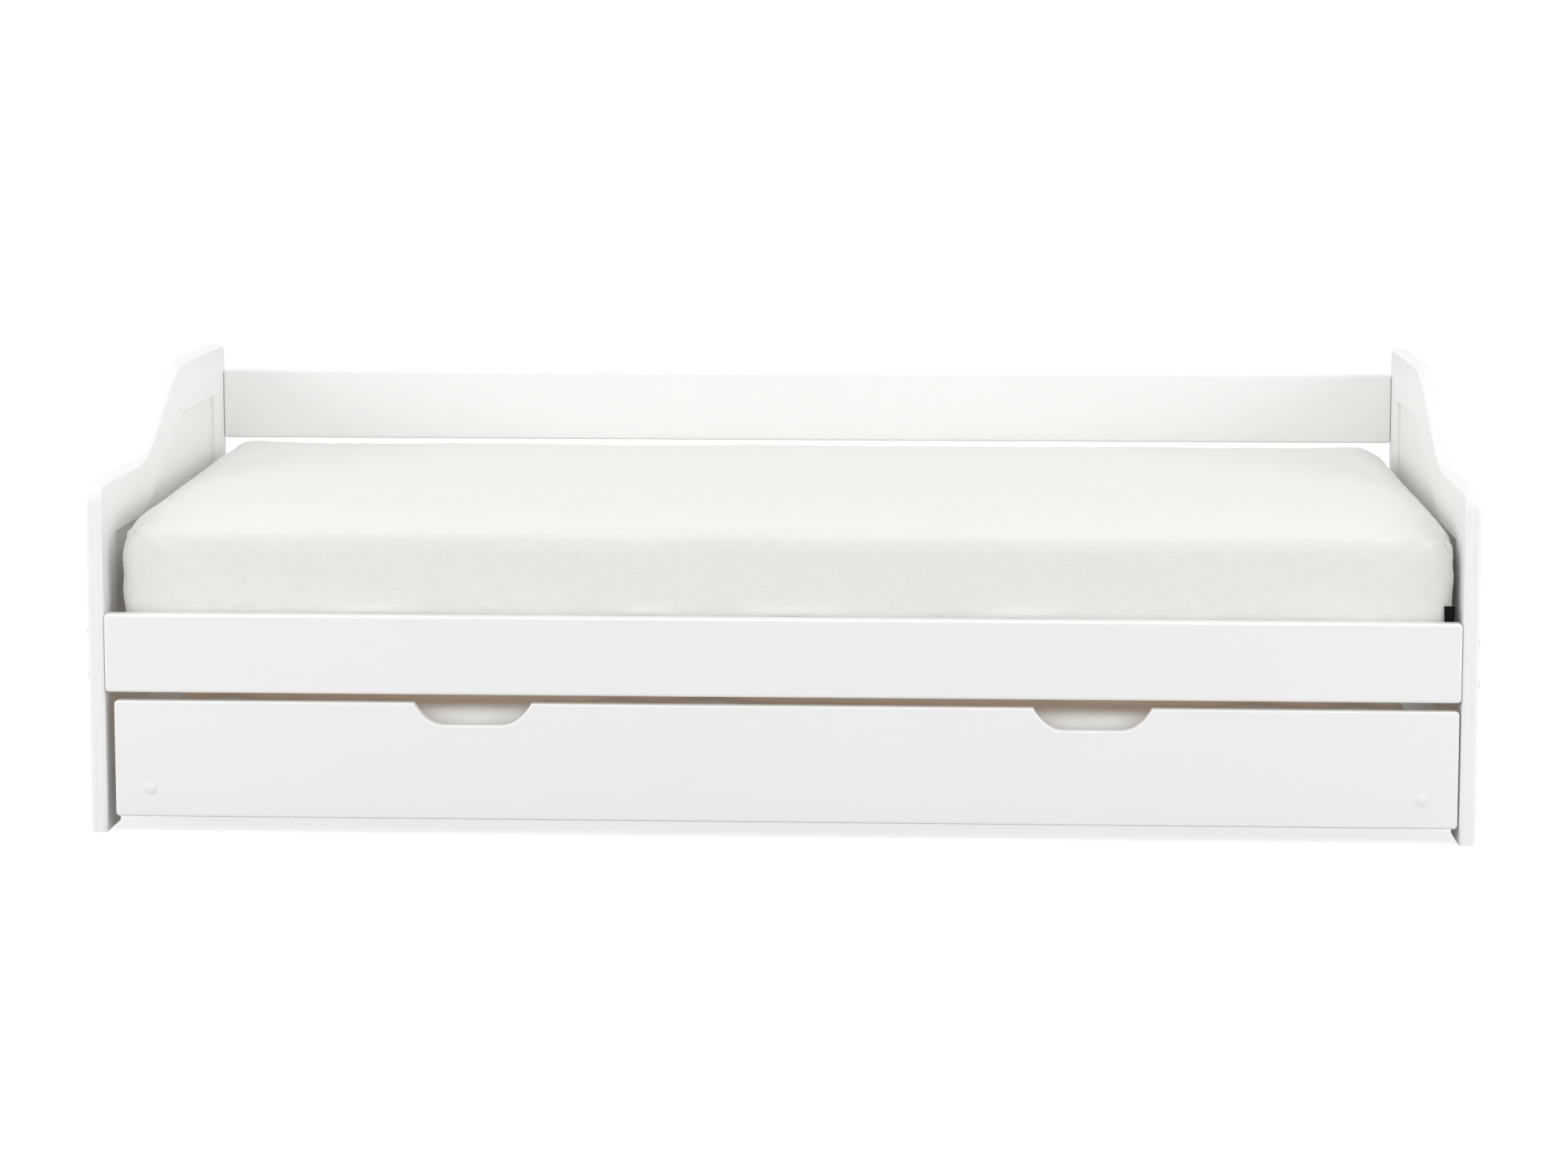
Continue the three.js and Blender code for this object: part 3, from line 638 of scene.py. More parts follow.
def set_fasteners(name, points, head, facing, material, body, slot_name, turn=0.0, seed=1):
    """Fasteners of one kind, one at each point. turn is the widest chance turn about their own axis."""
    start = bpy.data.meshes.new("places")
    start.from_pydata(points, [], [])
    template = shown("template", head)
    values = {"Fastener": template, "Facing": facing, "Turn": turn, "Material": material, "Seed": seed}
    piece = grown(name, SETTING, values, start, FASTENER_SHARP)
    bpy.data.objects.remove(template)
    return finished(piece, body, slot_name, None)


def make_moulded():
    """Moulded plastic: a fine spark texture and faint flow marks."""
    given_sockets = {"Colour": ("Color", (0.86, 0.86, 0.85, 1)), "Roughness": ("Float", 0.35)}
    tree, given, out = group_of("moulded_plastic", given_sockets)
    place = object_place(tree)
    spark = noise(tree, place, 1400)
    flow = noise(tree, moved(tree, "MULTIPLY", place, (40, 40, 160)), 1, 3)
    fill(tree, out["Colour"], toned(tree, given["Colour"], maths(tree, "MULTIPLY_ADD", flow, 0.06, 0.96)))
    fill(tree, out["Roughness"], maths(tree, "MULTIPLY_ADD", flow, 0.12, given["Roughness"]))
    fill(tree, out["Normal"], raised(tree, spark, 0.00004))
    return tree


def make_plating():
    """Bright zinc plate: a soft spangle, handling marks, and a little dulling."""
    given_sockets = {"Colour": ("Color", (0.66, 0.68, 0.7, 1)), "Roughness": ("Float", 0.28)}
    tree, given, out = group_of("zinc_plating", given_sockets)
    place = object_place(tree)
    spangle = node(tree, "ShaderNodeTexVoronoi", Vector=place, Scale=350.0).outputs["Color"]
    spangle = node(tree, "ShaderNodeSeparateColor", Color=spangle).outputs[0]
    marks = noise(tree, place, 90, 5, 0.7)
    tone = maths(tree, "MULTIPLY_ADD", spangle, 0.1, maths(tree, "MULTIPLY_ADD", marks, 0.16, 0.8))
    fill(tree, out["Colour"], toned(tree, given["Colour"], tone))
    fill(tree, out["Roughness"], maths(tree, "MULTIPLY_ADD", marks, 0.3, given["Roughness"]))
    fill(tree, out["Normal"], raised(tree, marks, 0.00003))
    return tree


MOULDED = make_moulded()
PLATING = make_plating()
cap_plastic = material_of("cap_plastic", MOULDED, {})
zinc_plate = material_of("zinc_plate", PLATING, {}, Metallic=1.0)

bolt_cap = dome(CAP_RADIUS, CAP_RISE, CAP_SKIRT)
# The head's cone and face, then the wall and floor of its recess.
screw_head = [
    (0, -0.001),
    (SCREW_RADIUS, -0.0002),
    (SCREW_RADIUS * 0.95, 0.0003),
    (SCREW_RADIUS * 0.55, 0.0004),
    (SCREW_RADIUS * 0.45, -0.0005),
    (0, -0.0006),
]
SCREW_RECESS = ((3, 4), cross)


def set_screws(name, points, facing, body, seed):
    """Zinc-plated cross-head screws, one at each point, each driven home at a chance angle."""
    head = turned("screw", screw_head, 16, SCREW_RECESS)
    return set_fasteners(name, points, head, facing, zinc_plate, body, "zinc_steel", turn=math.tau, seed=seed)


def middle_of(name):
    """The middle of a CAD node."""
    low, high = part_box(name)
    return (low + high) / 2


for side, outwards in (("left", -1), ("right", 1)):
    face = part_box(f"{side}_front_stile")[0 if outwards < 0 else 1].x
    heads = []
    for rail in ("front_side_rail", "upper_back_rail", "lower_back_rail"):
        centre = middle_of(rail)
        heads += [(face, centre.y, centre.z + half * BOLT_SPACING) for half in (-0.5, 0.5)]
    mesh = turned("cap", bolt_cap, 32)
    set_fasteners(f"{side}_bolt_caps", heads, mesh, (outwards, 0, 0), cap_plastic, "bed", "cap_plastic")

slat_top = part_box(SLAT_NODES[0])[1].z
screws = [
    (middle_of(slat).x, middle_of(f"{side}_slat_ledger").y, slat_top)
    for slat in SLAT_NODES
    for side in ("front", "back")
]
set_screws("slat_screws", screws, (0, 0, 1), "bed", 11)


def staple(width, wire):
    """A wire staple's crown, as a bar with ends that turn down."""
    half = width / 2
    tip = -3 * wire
    outline = [(-half, tip), (-half + wire, tip), (-half + wire, 0), (half - wire, 0)]
    outline += [(half - wire, tip), (half, tip), (half, wire), (-half, wire)]
    verts = [(x, y, z) for y in (-wire / 2, wire / 2) for x, z in outline]
    count = len(outline)
    faces = [(i, (i + 1) % count, (i + 1) % count + count, i + count) for i in range(count)]
    ends = [(0, 1, 2, 7), (2, 3, 6, 7), (3, 4, 5, 6)]
    faces += [tuple(face) for face in ends] + [tuple(i + count for i in reversed(face)) for face in ends]
    mesh = bpy.data.meshes.new("staple")
    mesh.from_pydata(verts, [], faces)
    return mesh


crossings = [
    (middle_of(slat).x, middle_of(f"{side}_slat_webbing").y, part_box(f"{side}_slat_webbing")[1].z)
    for slat in SLAT_NODES
    for side in ("front", "back")
]
mesh = staple(STAPLE_WIDTH, STAPLE_WIRE)
set_fasteners("strap_staples", crossings, mesh, (0, 0, 1), zinc_plate, "bed", "zinc_steel")

# ---- Bed mattress --------------------------------------------------------------------------------
# A 90 x 200 foam mattress in a fine white woven cover. The foam presses the cover out, so its faces are
# crowned and its edges soft. The cover is sewn up each vertical corner, where it gathers a little, and lies
# loose at the hem.
MATTRESS_VOXEL = 0.014
SWELL_FRAMES = 20
HELD_DEPTH = 0.004
BED_SWELL = 0.005
SLACK = 0.35
BED_EDGE = 0.022
BED_CORNER = 0.024
UNDER_EDGE = 0.6  # the lower edge's radius, as a share of the upper one's
LEAST_CORNER = 0.012
REST_REACH = 0.02  # the cover is free of what it rests on from this height up


def stuffed_block(low, high, corner, edge):
    """The closed form that a cover is sewn to: a block with round corners and soft upper and lower edges."""
    quarter = np.linspace(0, math.pi / 2, 7)
    under = edge * UNDER_EDGE
    rings = [(under * (1 - math.sin(a)), low.z + under * (1 - math.cos(a))) for a in quarter]
    rings += [(edge * (1 - math.sin(a)), high.z - edge * (1 - math.cos(a))) for a in quarter[::-1]]
    verts, faces = [], []
    for inset, height in rings:
        sides = (low.x + inset, high.x - inset, low.y + inset, high.y - inset)
        outline = rounded_rectangle(*sides, max(corner - inset, LEAST_CORNER), 8)
        verts += [(x, y, height) for x, y in outline]
    count = len(outline)
    for ring in range(len(rings) - 1):
        start = ring * count
        for i in range(count):
            j = (i + 1) % count
            faces.append((start + i, start + j, start + j + count, start + i + count))
    faces += [tuple(range(count - 1, -1, -1)), tuple(range(len(verts) - count, len(verts)))]
    mesh = bpy.data.meshes.new("block")
    mesh.from_pydata(verts, [], faces)
    return mesh


def places_of(mesh):
    """A mesh's corners as an array."""
    flat = np.empty(len(mesh.vertices) * 3, np.float32)
    mesh.vertices.foreach_get("co", flat)
    return flat.reshape(-1, 3).astype(float)


def put_places(mesh, places):
    """Moves a mesh's corners."""
    mesh.vertices.foreach_set("co", places.astype(np.float32).ravel())
    mesh.update()


def normals_of(mesh):
    """A mesh's corner normals as an array."""
    flat = np.empty(len(mesh.vertices) * 3, np.float32)
    mesh.vertices.foreach_get("normal", flat)
    return flat.reshape(-1, 3).astype(float)


def swollen(mesh, pressure, swell):
    """A cover after its filling presses it out. What it rests on holds its underside."""
    start = places_of(mesh)
    holder = shown("swelling", mesh)
    resting = np.flatnonzero(start[:, 2] < start[:, 2].min() + HELD_DEPTH)
    held = holder.vertex_groups.new(name="held")
    held.add(resting.tolist(), 1.0, "REPLACE")
    cloth = holder.modifiers.new("swell", "CLOTH")
    cloth.point_cache.frame_start = 1
    cloth.point_cache.frame_end = SWELL_FRAMES
    cloth.collision_settings.use_collision = False
    settings = cloth.settings
    settings.quality = 4
    settings.mass = 0.3
    settings.tension_stiffness = settings.compression_stiffness = 12
    settings.shear_stiffness = 6
    settings.bending_stiffness = 0.3
    settings.use_pressure = True
    settings.uniform_pressure_force = pressure
    settings.effector_weights.gravity = 0
    settings.vertex_group_mass = "held"
    for moment in range(1, SWELL_FRAMES + 1):
        bpy.context.scene.frame_set(moment)
    pressed = holder.evaluated_get(bpy.context.evaluated_depsgraph_get()).data
    given = places_of(pressed) - start
    bpy.context.scene.frame_set(1)
    holder.modifiers.remove(cloth)
    bpy.data.objects.remove(holder)
    reach = np.linalg.norm(given, axis=1)[:, None]
    put_places(mesh, start + given * swell * np.tanh(reach / swell) / np.maximum(reach, 1e-9))
    return mesh


WAVES = 9


def ripple(places, size, seed):
    """Smooth chance waves of about a size, from about -1 to 1, at each place."""
    chance = np.random.default_rng(seed)
    way = chance.normal(size=(WAVES, 3))
    way /= np.linalg.norm(way, axis=1)[:, None]
    pitch = 2 * math.pi / (size * chance.uniform(0.7, 1.6, WAVES))
    start = chance.uniform(0, 2 * math.pi, WAVES)
    return np.sin(places @ (way * pitch[:, None]).T + start).sum(axis=1) / math.sqrt(WAVES) / 1.5


def hump(value, centre, width):
    """A smooth bump: one at its centre, and nothing far away."""
    return np.exp(-(((value - centre) / width) ** 2))


def fitted(mesh, low, high):
    """Brings a swollen cover back to the size that it was cut to."""
    places = places_of(mesh)
    found_low, found_high = places.min(axis=0), places.max(axis=0)
    share = (places - found_low) / (found_high - found_low)
    put_places(mesh, np.array(low) + share * (np.array(high) - np.array(low)))
    return mesh


def padded_cover(low, high, corner, edge, swell, pressure):
    """A swollen cover as a fine mesh, ready for its folds."""
    slack = swell * SLACK
    inner_low, inner_high = low + Vector((slack, slack, 0)), high - Vector((slack, slack, slack))
    holder = shown("block", stuffed_block(inner_low, inner_high, corner, edge))
    remesh = holder.modifiers.new("even", "REMESH")
    remesh.mode = "VOXEL"
    remesh.voxel_size = MATTRESS_VOXEL
    mesh = plain(holder)
    mesh = swollen(mesh, pressure, swell)
    mesh = fitted(mesh, low, high + Vector((0, 0, swell / 2)))
    holder = shown("smoothing", mesh)
    finer = holder.modifiers.new("finer", "SUBSURF")
    finer.levels = finer.render_levels = 1
    mesh = plain(holder)
    mesh.polygons.foreach_set("use_smooth", [True] * len(mesh.polygons))
    return mesh


SEAM_TOP = 0.015  # the folds spread from a point on the corner this far below the cover's top
BROAD_FOLDS = 9
FINE_FOLDS = 17
FOLD_BEND = 14
FOLD_START = 0.02


def gathers(places, low, high, reach, depth):
    """Small folds that run out from the top of each sewn corner, a little different at each."""
    total = np.zeros(len(places))
    for number, (x, y) in enumerate(((low.x, low.y), (high.x, low.y), (high.x, high.y), (low.x, high.y))):
        out = places - np.array((x, y, high.z - SEAM_TOP))
        far = np.linalg.norm(out, axis=1)
        angle = np.arctan2(out[:, 2], np.hypot(out[:, 0], out[:, 1]))
        fold = np.sin(angle * BROAD_FOLDS + number * 1.7 + FOLD_BEND * far)
        fold += 0.6 * np.sin(angle * FINE_FOLDS + number)
        total += depth * fold * hump(far, 0, reach) * np.tanh(far / FOLD_START)
    return total


def freedom(places, out, low):
    """How far each of a cover's corners faces up and aside, and how free it is of what it rests on."""
    resting = np.clip((places[:, 2] - low.z) / REST_REACH, 0, 1)
    return np.clip(out[:, 2], 0, 1), 1 - np.abs(out[:, 2]), resting


THREAD_PITCH = 0.0011


def make_cover_weave():
    """Fine plain-woven cotton: warp and weft that follow each face, slubs in both, and soft mottling."""
    given_sockets = {
        "Colour": ("Color", (0.82, 0.813, 0.79, 1)),
        "Thread": ("Float", 1 / THREAD_PITCH),
        "Slub": ("Float", 0.05),
        "Roughness": ("Float", 0.85),
    }
    tree, given, out = group_of("cover_weave", given_sockets)
    place = object_place(tree)
    spot = node(tree, "ShaderNodeSeparateXYZ", Vector=place).outputs
    facing = node(tree, "ShaderNodeNewGeometry").outputs["True Normal"]
    facing = node(tree, "ShaderNodeSeparateXYZ", Vector=facing).outputs
    flat = maths(tree, "GREATER_THAN", maths(tree, "ABSOLUTE", facing[2]), 0.7)
    ends = maths(tree, "GREATER_THAN", maths(tree, "ABSOLUTE", facing[0]), 0.7)

    def either(mask, usual, other):
        made = node(tree, "ShaderNodeMix", data_type="FLOAT")
        for socket, value in ((0, mask), (2, usual), (3, other)):
            fill(tree, made.inputs[socket], value)
        return made.outputs[0]

    warp, weft = either(ends, spot[0], spot[1]), either(flat, spot[2], spot[1])
    turns = maths(tree, "MULTIPLY", given["Thread"], math.tau)
    over = maths(tree, "SINE", maths(tree, "MULTIPLY", warp, turns))
    under = maths(tree, "SINE", maths(tree, "MULTIPLY", weft, turns))
    weave = maths(tree, "MULTIPLY_ADD", maths(tree, "MULTIPLY", over, under), 0.5, 0.5)
    cloth_place = node(tree, "ShaderNodeCombineXYZ", X=warp, Y=weft, Z=0.0).outputs[0]
    slubs = noise(tree, moved(tree, "MULTIPLY", cloth_place, (22, 420, 1)), 1, 4, 0.65)
    cross_slubs = noise(tree, moved(tree, "MULTIPLY", cloth_place, (420, 30, 1)), 1, 3, 0.6)
    mottle = noise(tree, place, 11, 4, 0.6)
    yarn = maths(tree, "MULTIPLY_ADD", cross_slubs, 0.6, slubs)
    tone = maths(tree, "MULTIPLY_ADD", yarn, given["Slub"], maths(tree, "MULTIPLY_ADD", mottle, 0.03, 0.945))
    tone = maths(tree, "MULTIPLY_ADD", weave, 0.02, tone)
    fill(tree, out["Colour"], toned(tree, given["Colour"], tone))
    fill(tree, out["Roughness"], given["Roughness"])
    soft = raised(tree, yarn, 0.0004)
    fill(tree, out["Normal"], raised(tree, weave, 0.00012, soft))
    return tree


COVER_WEAVE = make_cover_weave()
white_cotton = material_of("white_cotton", COVER_WEAVE, {}, Sheen_Weight=0.12, Sheen_Roughness=0.5)
sewing_thread = material_of("sewing_thread", TAPE, {"Colour": (0.8, 0.79, 0.76, 1)}, Sheen_Weight=0.2)

# The upper face: how far in from the front and the ends it rolls over, how far it drops there, its small rise
# along the back, and its lean towards the front. The left end drops most near the front.
FRONT_ROLL = 0.120
FRONT_DROP = 0.027
END_ROLL = 0.065
END_DROP = 0.023
LEFT_SHARE = 0.15
LEFT_FRONT_SHARE = 0.75
REAR_RISE = 0.002
REAR_REACH = 0.09
FRONT_LEAN = 0.004
LEAN_RATE = 1.6
# The cover's loose folds just over the side rail, as (place along X, width).
RAIL_FOLDS = ((-0.61, 0.055), (-0.20, 0.035), (0.02, 0.06), (0.36, 0.04))
RAIL_FOLD_DEPTH = 0.0034

low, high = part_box("bed_mattress")
rail_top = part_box("front_side_rail")[1].z
mesh = padded_cover(low, high, BED_CORNER, BED_EDGE, BED_SWELL, 4.0)
middle, size = (low + high) / 2, high - low
places = places_of(mesh)
height = np.clip((places[:, 2] - rail_top) / (high.z - rail_top), 0, 1)
towards_front = np.clip(0.5 - places[:, 1] / size.y * LEAN_RATE, 0, 1)
front_roll = np.clip((low.y + FRONT_ROLL - places[:, 1]) / FRONT_ROLL, 0, 1) ** 2
left_roll = np.clip((low.x + END_ROLL - places[:, 0]) / END_ROLL, 0, 1) ** 2
right_roll = np.clip((places[:, 0] - high.x + END_ROLL) / END_ROLL, 0, 1) ** 2
drop = FRONT_DROP * front_roll + FRONT_LEAN * towards_front
drop -= REAR_RISE * hump(places[:, 1], high.y, REAR_REACH)
drop += END_DROP * (right_roll + left_roll * (LEFT_SHARE + LEFT_FRONT_SHARE * towards_front))
places[:, 2] -= drop * height
put_places(mesh, places)
out = normals_of(mesh)
upper, sideways, resting = freedom(places, out, low)
aside = np.clip(np.abs(places[:, 1] - middle.y) / (size.y / 2), 0, 1)
lift = upper * 0.0012 * (ripple(places, 0.32, 1) + aside**3 * ripple(places, 0.16, 2))
pull = sideways * 0.0011 * ripple(places, 0.11, 3)
pull += sideways * np.abs(out[:, 0]) * 0.0022 * ripple(places, 0.055, 4)
pull += 0.0004 * ripple(places, 0.03, 5)
pull += gathers(places, low, high, 0.085, 0.0016)
loose = hump(places[:, 2], rail_top + 0.003, 0.006) * np.clip(-out[:, 1], 0, 1)
for centre, width in RAIL_FOLDS:
    pull += RAIL_FOLD_DEPTH * loose * hump(places[:, 0], centre, width)
put_places(mesh, places + out * ((lift + pull) * resting)[:, None])
bed_mattress = shown("bed_mattress_cover", mesh)
finished(bed_mattress, "bed", "mattress_cover", white_cotton, "bed_mattress")


def make_stitching():
    """A tree that lays stitches end to end along a seam."""
    given_sockets = {
        "Seam": ("Geometry", None),
        "Spacing": ("Float", 0.005),
        "Stitch": ("Float", 0.0034),
        "Thickness": ("Float", 0.0004),
        "Material": ("Material", None),
    }
    tree, given, out = group_of("stitching", given_sockets, "GeometryNodeTree", ("Stitches",))
    seam = node(tree, "GeometryNodeMeshToCurve", Mesh=given["Seam"])
    even = node(tree, "GeometryNodeCurveToPoints", mode="LENGTH", Curve=seam.outputs[0])
    fill(tree, even.inputs["Length"], given["Spacing"])
    thread = node(tree, "GeometryNodeMeshCylinder", Vertices=6, Radius=given["Thickness"])
    fill(tree, thread.inputs["Depth"], given["Stitch"])
    laid = node(
        tree,
        "GeometryNodeInstanceOnPoints",
        Points=even.outputs["Points"],
        Instance=thread.outputs["Mesh"],
        Rotation=even.outputs["Rotation"],
    )
    fill(tree, out["Stitches"], made_real(tree, laid.outputs[0], given["Material"]))
    return tree


STITCHING = make_stitching()
SEAM_TURN = 5
SEAM_END = 0.03
SEAM_POINTS = 24


def corner_seams(name, cover, low, high, corner, body):
    """Stitching beside the seam up each corner of a cover, laid on the cover's own surface."""
    places = [vertex.co for vertex in cover.data.vertices]
    surface = BVHTree.FromPolygons(places, [tuple(face.vertices) for face in cover.data.polygons])
    verts, edges = [], []
    for x, y, turn in ((low.x, low.y, 225), (high.x, low.y, 315), (high.x, high.y, 45), (low.x, high.y, 135)):
        for beside in (-SEAM_TURN, SEAM_TURN):
            angle = math.radians(turn + beside)
            way = Vector((math.cos(angle), math.sin(angle), 0))
            heart = Vector((x - math.copysign(corner, way.x), y - math.copysign(corner, way.y), 0))
            previous = None
            for height in np.linspace(low.z + SEAM_END, high.z - SEAM_END, SEAM_POINTS):
                start = heart + way * 0.2 + Vector((0, 0, float(height)))
                hit, facing, _, _ = surface.ray_cast(start, -way)
                if hit is None:
                    continue
                verts.append(hit + facing * 0.0001)
                if previous is not None:
                    edges.append((previous, len(verts) - 1))
                previous = len(verts) - 1
    seam = bpy.data.meshes.new("seam")
    seam.from_pydata(verts, edges, [])
    stitches = grown(name, STITCHING, {"Material": sewing_thread}, seam, 60)
    return finished(stitches, body, "mattress_cover", None)


corner_seams("bed_mattress_stitches", bed_mattress, low, high, BED_CORNER, "bed")

# ---- Side tab ------------------------------------------------------------------------------------
# A plain folded tab of black woven tape is caught in the cover's seam near the right front corner. It hangs
# flat against the cover's side, and its lower end bows out a little.
TAB_LEAN = math.radians(3.5)
TAB_THICKNESS = 0.0009
TAB_CURL = 0.0008
TAB_SOFT_EDGE = 0.0002
TAB_ROWS = 20
TAB_COLUMNS = 8
black_tape = material_of("black_tape", TAPE, {"Colour": (0.004, 0.004, 0.0042, 1)}, Specular_IOR_Level=0.2)
low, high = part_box("mattress_side_tab")
verts, faces = [], []
for row in range(TAB_ROWS + 1):
    for column in range(TAB_COLUMNS + 1):
        share, down = column / TAB_COLUMNS, row / TAB_ROWS
        x = low.x + share * (high.x - low.x)
        z = high.z - down * (high.z - low.z)
        curl = TAB_CURL * math.sin(math.pi * share) * down
        verts.append((x + (high.z - z) * math.sin(TAB_LEAN) * (0.5 - share), low.y - curl, z))
for row in range(TAB_ROWS):
    for column in range(TAB_COLUMNS):
        start = row * (TAB_COLUMNS + 1) + column
        faces.append((start, start + TAB_COLUMNS + 1, start + TAB_COLUMNS + 2, start + 1))
tab_mesh = bpy.data.meshes.new("tab")
tab_mesh.from_pydata(verts, [], faces)
tab = shown("making_tab", tab_mesh)
thick = tab.modifiers.new("thick", "SOLIDIFY")
thick.thickness = TAB_THICKNESS
thick.offset = -1
softened = tab.modifiers.new("soft_edges", "BEVEL")
softened.width = TAB_SOFT_EDGE
softened.segments = 2
softened.limit_method = "ANGLE"
tab = shown("folded_side_tab", plain(tab))
finished(tab, "bed", "black_tape", black_tape, "mattress_side_tab")

# ---- Trundle tray --------------------------------------------------------------------------------
# The trundle is a low tray on castors: a front board with two hand cut-outs, lower boards at its sides and
# back, all painted, and lacquered planks on three softwood bearers. Its boards are screwed together at the
# corners.
TRAY_EDGE = 0.0035
PLANK_EDGE = 0.002
PLANK_SCREW_SPREAD = 0.060
CUTOUT_SPREAD = 0.460
CUTOUT_TOP = 0.176
CUTOUT_FLAT = 0.085
CUTOUT_DEPTH = 0.033
CUTOUT_STEPS = 10
TRUNDLE_NODE = "trundle_front_board"
painted_deep = material_of("white_paint_deep", PAINT, {"Grain": (60, 3, 60)}, **SATIN)


def cutout_slope(turn):
    """One sloping side of a hand cut-out: how far out from the flat, and how deep, from the top down."""
    slope = (CUTOUT_TOP - CUTOUT_FLAT) / 2
    curve = sweep(((1, 0), (0.75, 0.6), (0.4, 1), (0, 1)), CUTOUT_STEPS)
    return [(turn * (CUTOUT_FLAT / 2 + out * slope), deep * CUTOUT_DEPTH) for out, deep in curve]


low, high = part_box(TRUNDLE_NODE)
centre = (low.x + high.x) / 2
corners = rounded_rectangle(low.x, high.x, low.z, high.z, RAIL_CORNER)
half_way = len(corners) // 2
front_outline = corners[:half_way]
for middle in (centre + CUTOUT_SPREAD, centre - CUTOUT_SPREAD):
    near = [(middle + out, high.z - deep) for out, deep in cutout_slope(1)]
    far = [(middle + out, high.z - deep) for out, deep in cutout_slope(-1)]
    front_outline += near + far[::-1]
front_outline += corners[half_way:]
front_board = rounded_board("trundle_front", [(front_outline, TRAY_EDGE)], FACING_FRONT, -high.y, -low.y)
finished(front_board, "trundle", "white_paint", painted_lengthwise, TRUNDLE_NODE)

birch_lengthwise = material_of("birch_lengthwise", WOOD, BIRCH, Coat_Weight=0.15)

flat_board("trundle_back", "trundle_back_board", FACING_FRONT, TRAY_EDGE, "trundle", painted_lengthwise)
for side in ("left", "right"):
    name, node_name = f"trundle_{side}_side", f"trundle_{side}_board"
    flat_board(name, node_name, FACING_ALONG, TRAY_EDGE, "trundle", painted_deep)
PLANK_NODES = [f"trundle_plank_{number}" for number in range(1, 7)]
BEARER_NODES = [f"trundle_{place}_bearer" for place in ("left", "middle", "right")]
board_row("trundle_planks", PLANK_NODES, 0, PLANK_EDGE, birch_lengthwise, "trundle", "birch_slat", 21)
board_row("trundle_bearers", BEARER_NODES, 1, PLANK_EDGE, pine_across, "trundle", "pine", 22)

plank_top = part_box(PLANK_NODES[0])[1].z
plank_screws = [
    (middle_of(bearer).x, middle_of(plank).y + half * PLANK_SCREW_SPREAD, plank_top)
    for bearer in BEARER_NODES
    for plank in PLANK_NODES
    for half in (-0.5, 0.5)
]
set_screws("plank_screws", plank_screws, (0, 0, 1), "trundle", 12)
low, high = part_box("trundle_back_board")
corner_screws = [
    (middle_of(f"trundle_{side}_board").x, high.y, low.z + share * (high.z - low.z))
    for side in ("left", "right")
    for share in (0.25, 0.75)
]
set_screws("tray_corner_screws", corner_screws, (0, 1, 0), "trundle", 13)

# ---- Trundle mattress ----------------------------------------------------------------------------
# A thinner foam mattress in the same cotton cover lies in the tray. Its cover is loose, so the top is
# uneven and folds of it stand up along the front edge.
TRUNDLE_SWELL = 0.004
TRUNDLE_SOFT_EDGE = 0.016
TRUNDLE_CORNER = 0.024
FRONT_REACH = 0.07
FRONT_DIP = 0.003
# The folds along the front edge, as (place along X, width, height).
FRONT_FOLDS = (
    (-0.822, 0.036, 0.011),
    (-0.245, 0.045, 0.010),
    (-0.095, 0.075, 0.011),
    (0.715, 0.055, 0.011),
    (0.850, 0.040, 0.009),
)
low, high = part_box("trundle_mattress")
mesh = padded_cover(low, high, TRUNDLE_CORNER, TRUNDLE_SOFT_EDGE, TRUNDLE_SWELL, 3.0)
places, out = places_of(mesh), normals_of(mesh)
upper, sideways, resting = freedom(places, out, low)
front = hump(places[:, 1], low.y, FRONT_REACH)
lift = upper * (0.0016 * ripple(places, 0.22, 11) + 0.0008 * ripple(places, 0.09, 12) - FRONT_DIP * front)
for centre, width, rise in FRONT_FOLDS:
    lift += upper * rise * front * hump(places[:, 0], centre, width)
pull = sideways * 0.0009 * ripple(places, 0.09, 13) + 0.0003 * ripple(places, 0.03, 14)
pull += gathers(places, low, high, 0.07, 0.0013)
put_places(mesh, places + out * ((lift + pull) * resting)[:, None])
trundle_mattress = shown("trundle_mattress_cover", mesh)
finished(trundle_mattress, "trundle", "mattress_cover", white_cotton, "trundle_mattress")
corner_seams("trundle_mattress_stitches", trundle_mattress, low, high, TRUNDLE_CORNER, "trundle")

# ---- Cover caps ----------------------------------------------------------------------------------
# A white domed cap is pressed over the bolt at each lower corner of the trundle front. It is moulded plastic,
# with a short skirt that sits on the board.
COVER_CAP_SKIRT = 0.0006
for side in ("left", "right"):
    low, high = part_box(f"{side}_cover_cap")
    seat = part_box(TRUNDLE_NODE)[0].y
    place = (middle_of(f"{side}_cover_cap").x, seat, (low.z + high.z) / 2)
    profile = dome((high.x - low.x) / 2, seat - low.y - COVER_CAP_SKIRT, COVER_CAP_SKIRT, 8)
    mesh = turned("cap", profile, 40)
    name = f"{side}_front_cap"
    cap = set_fasteners(name, [place], mesh, (0, -1, 0), cap_plastic, "trundle", "cap_plastic")
    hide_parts(f"{side}_cover_cap")

# ---- Castors -------------------------------------------------------------------------------------
# Four fixed castors are screwed under the bearers: a pressed zinc-plated fork, a steel axle bolt with a
# nut, and a moulded grey nylon wheel with a soft grooved tread.
nylon = material_of("grey_nylon", MOULDED, {"Colour": (0.085, 0.09, 0.095, 1), "Roughness": 0.5})
TREAD_GROOVE = 0.0008
AXLE_PLAY = 1.04
PLATE_THICKNESS = 0.002
PLATE_SCREW_REACH = (0.022, 0.014)


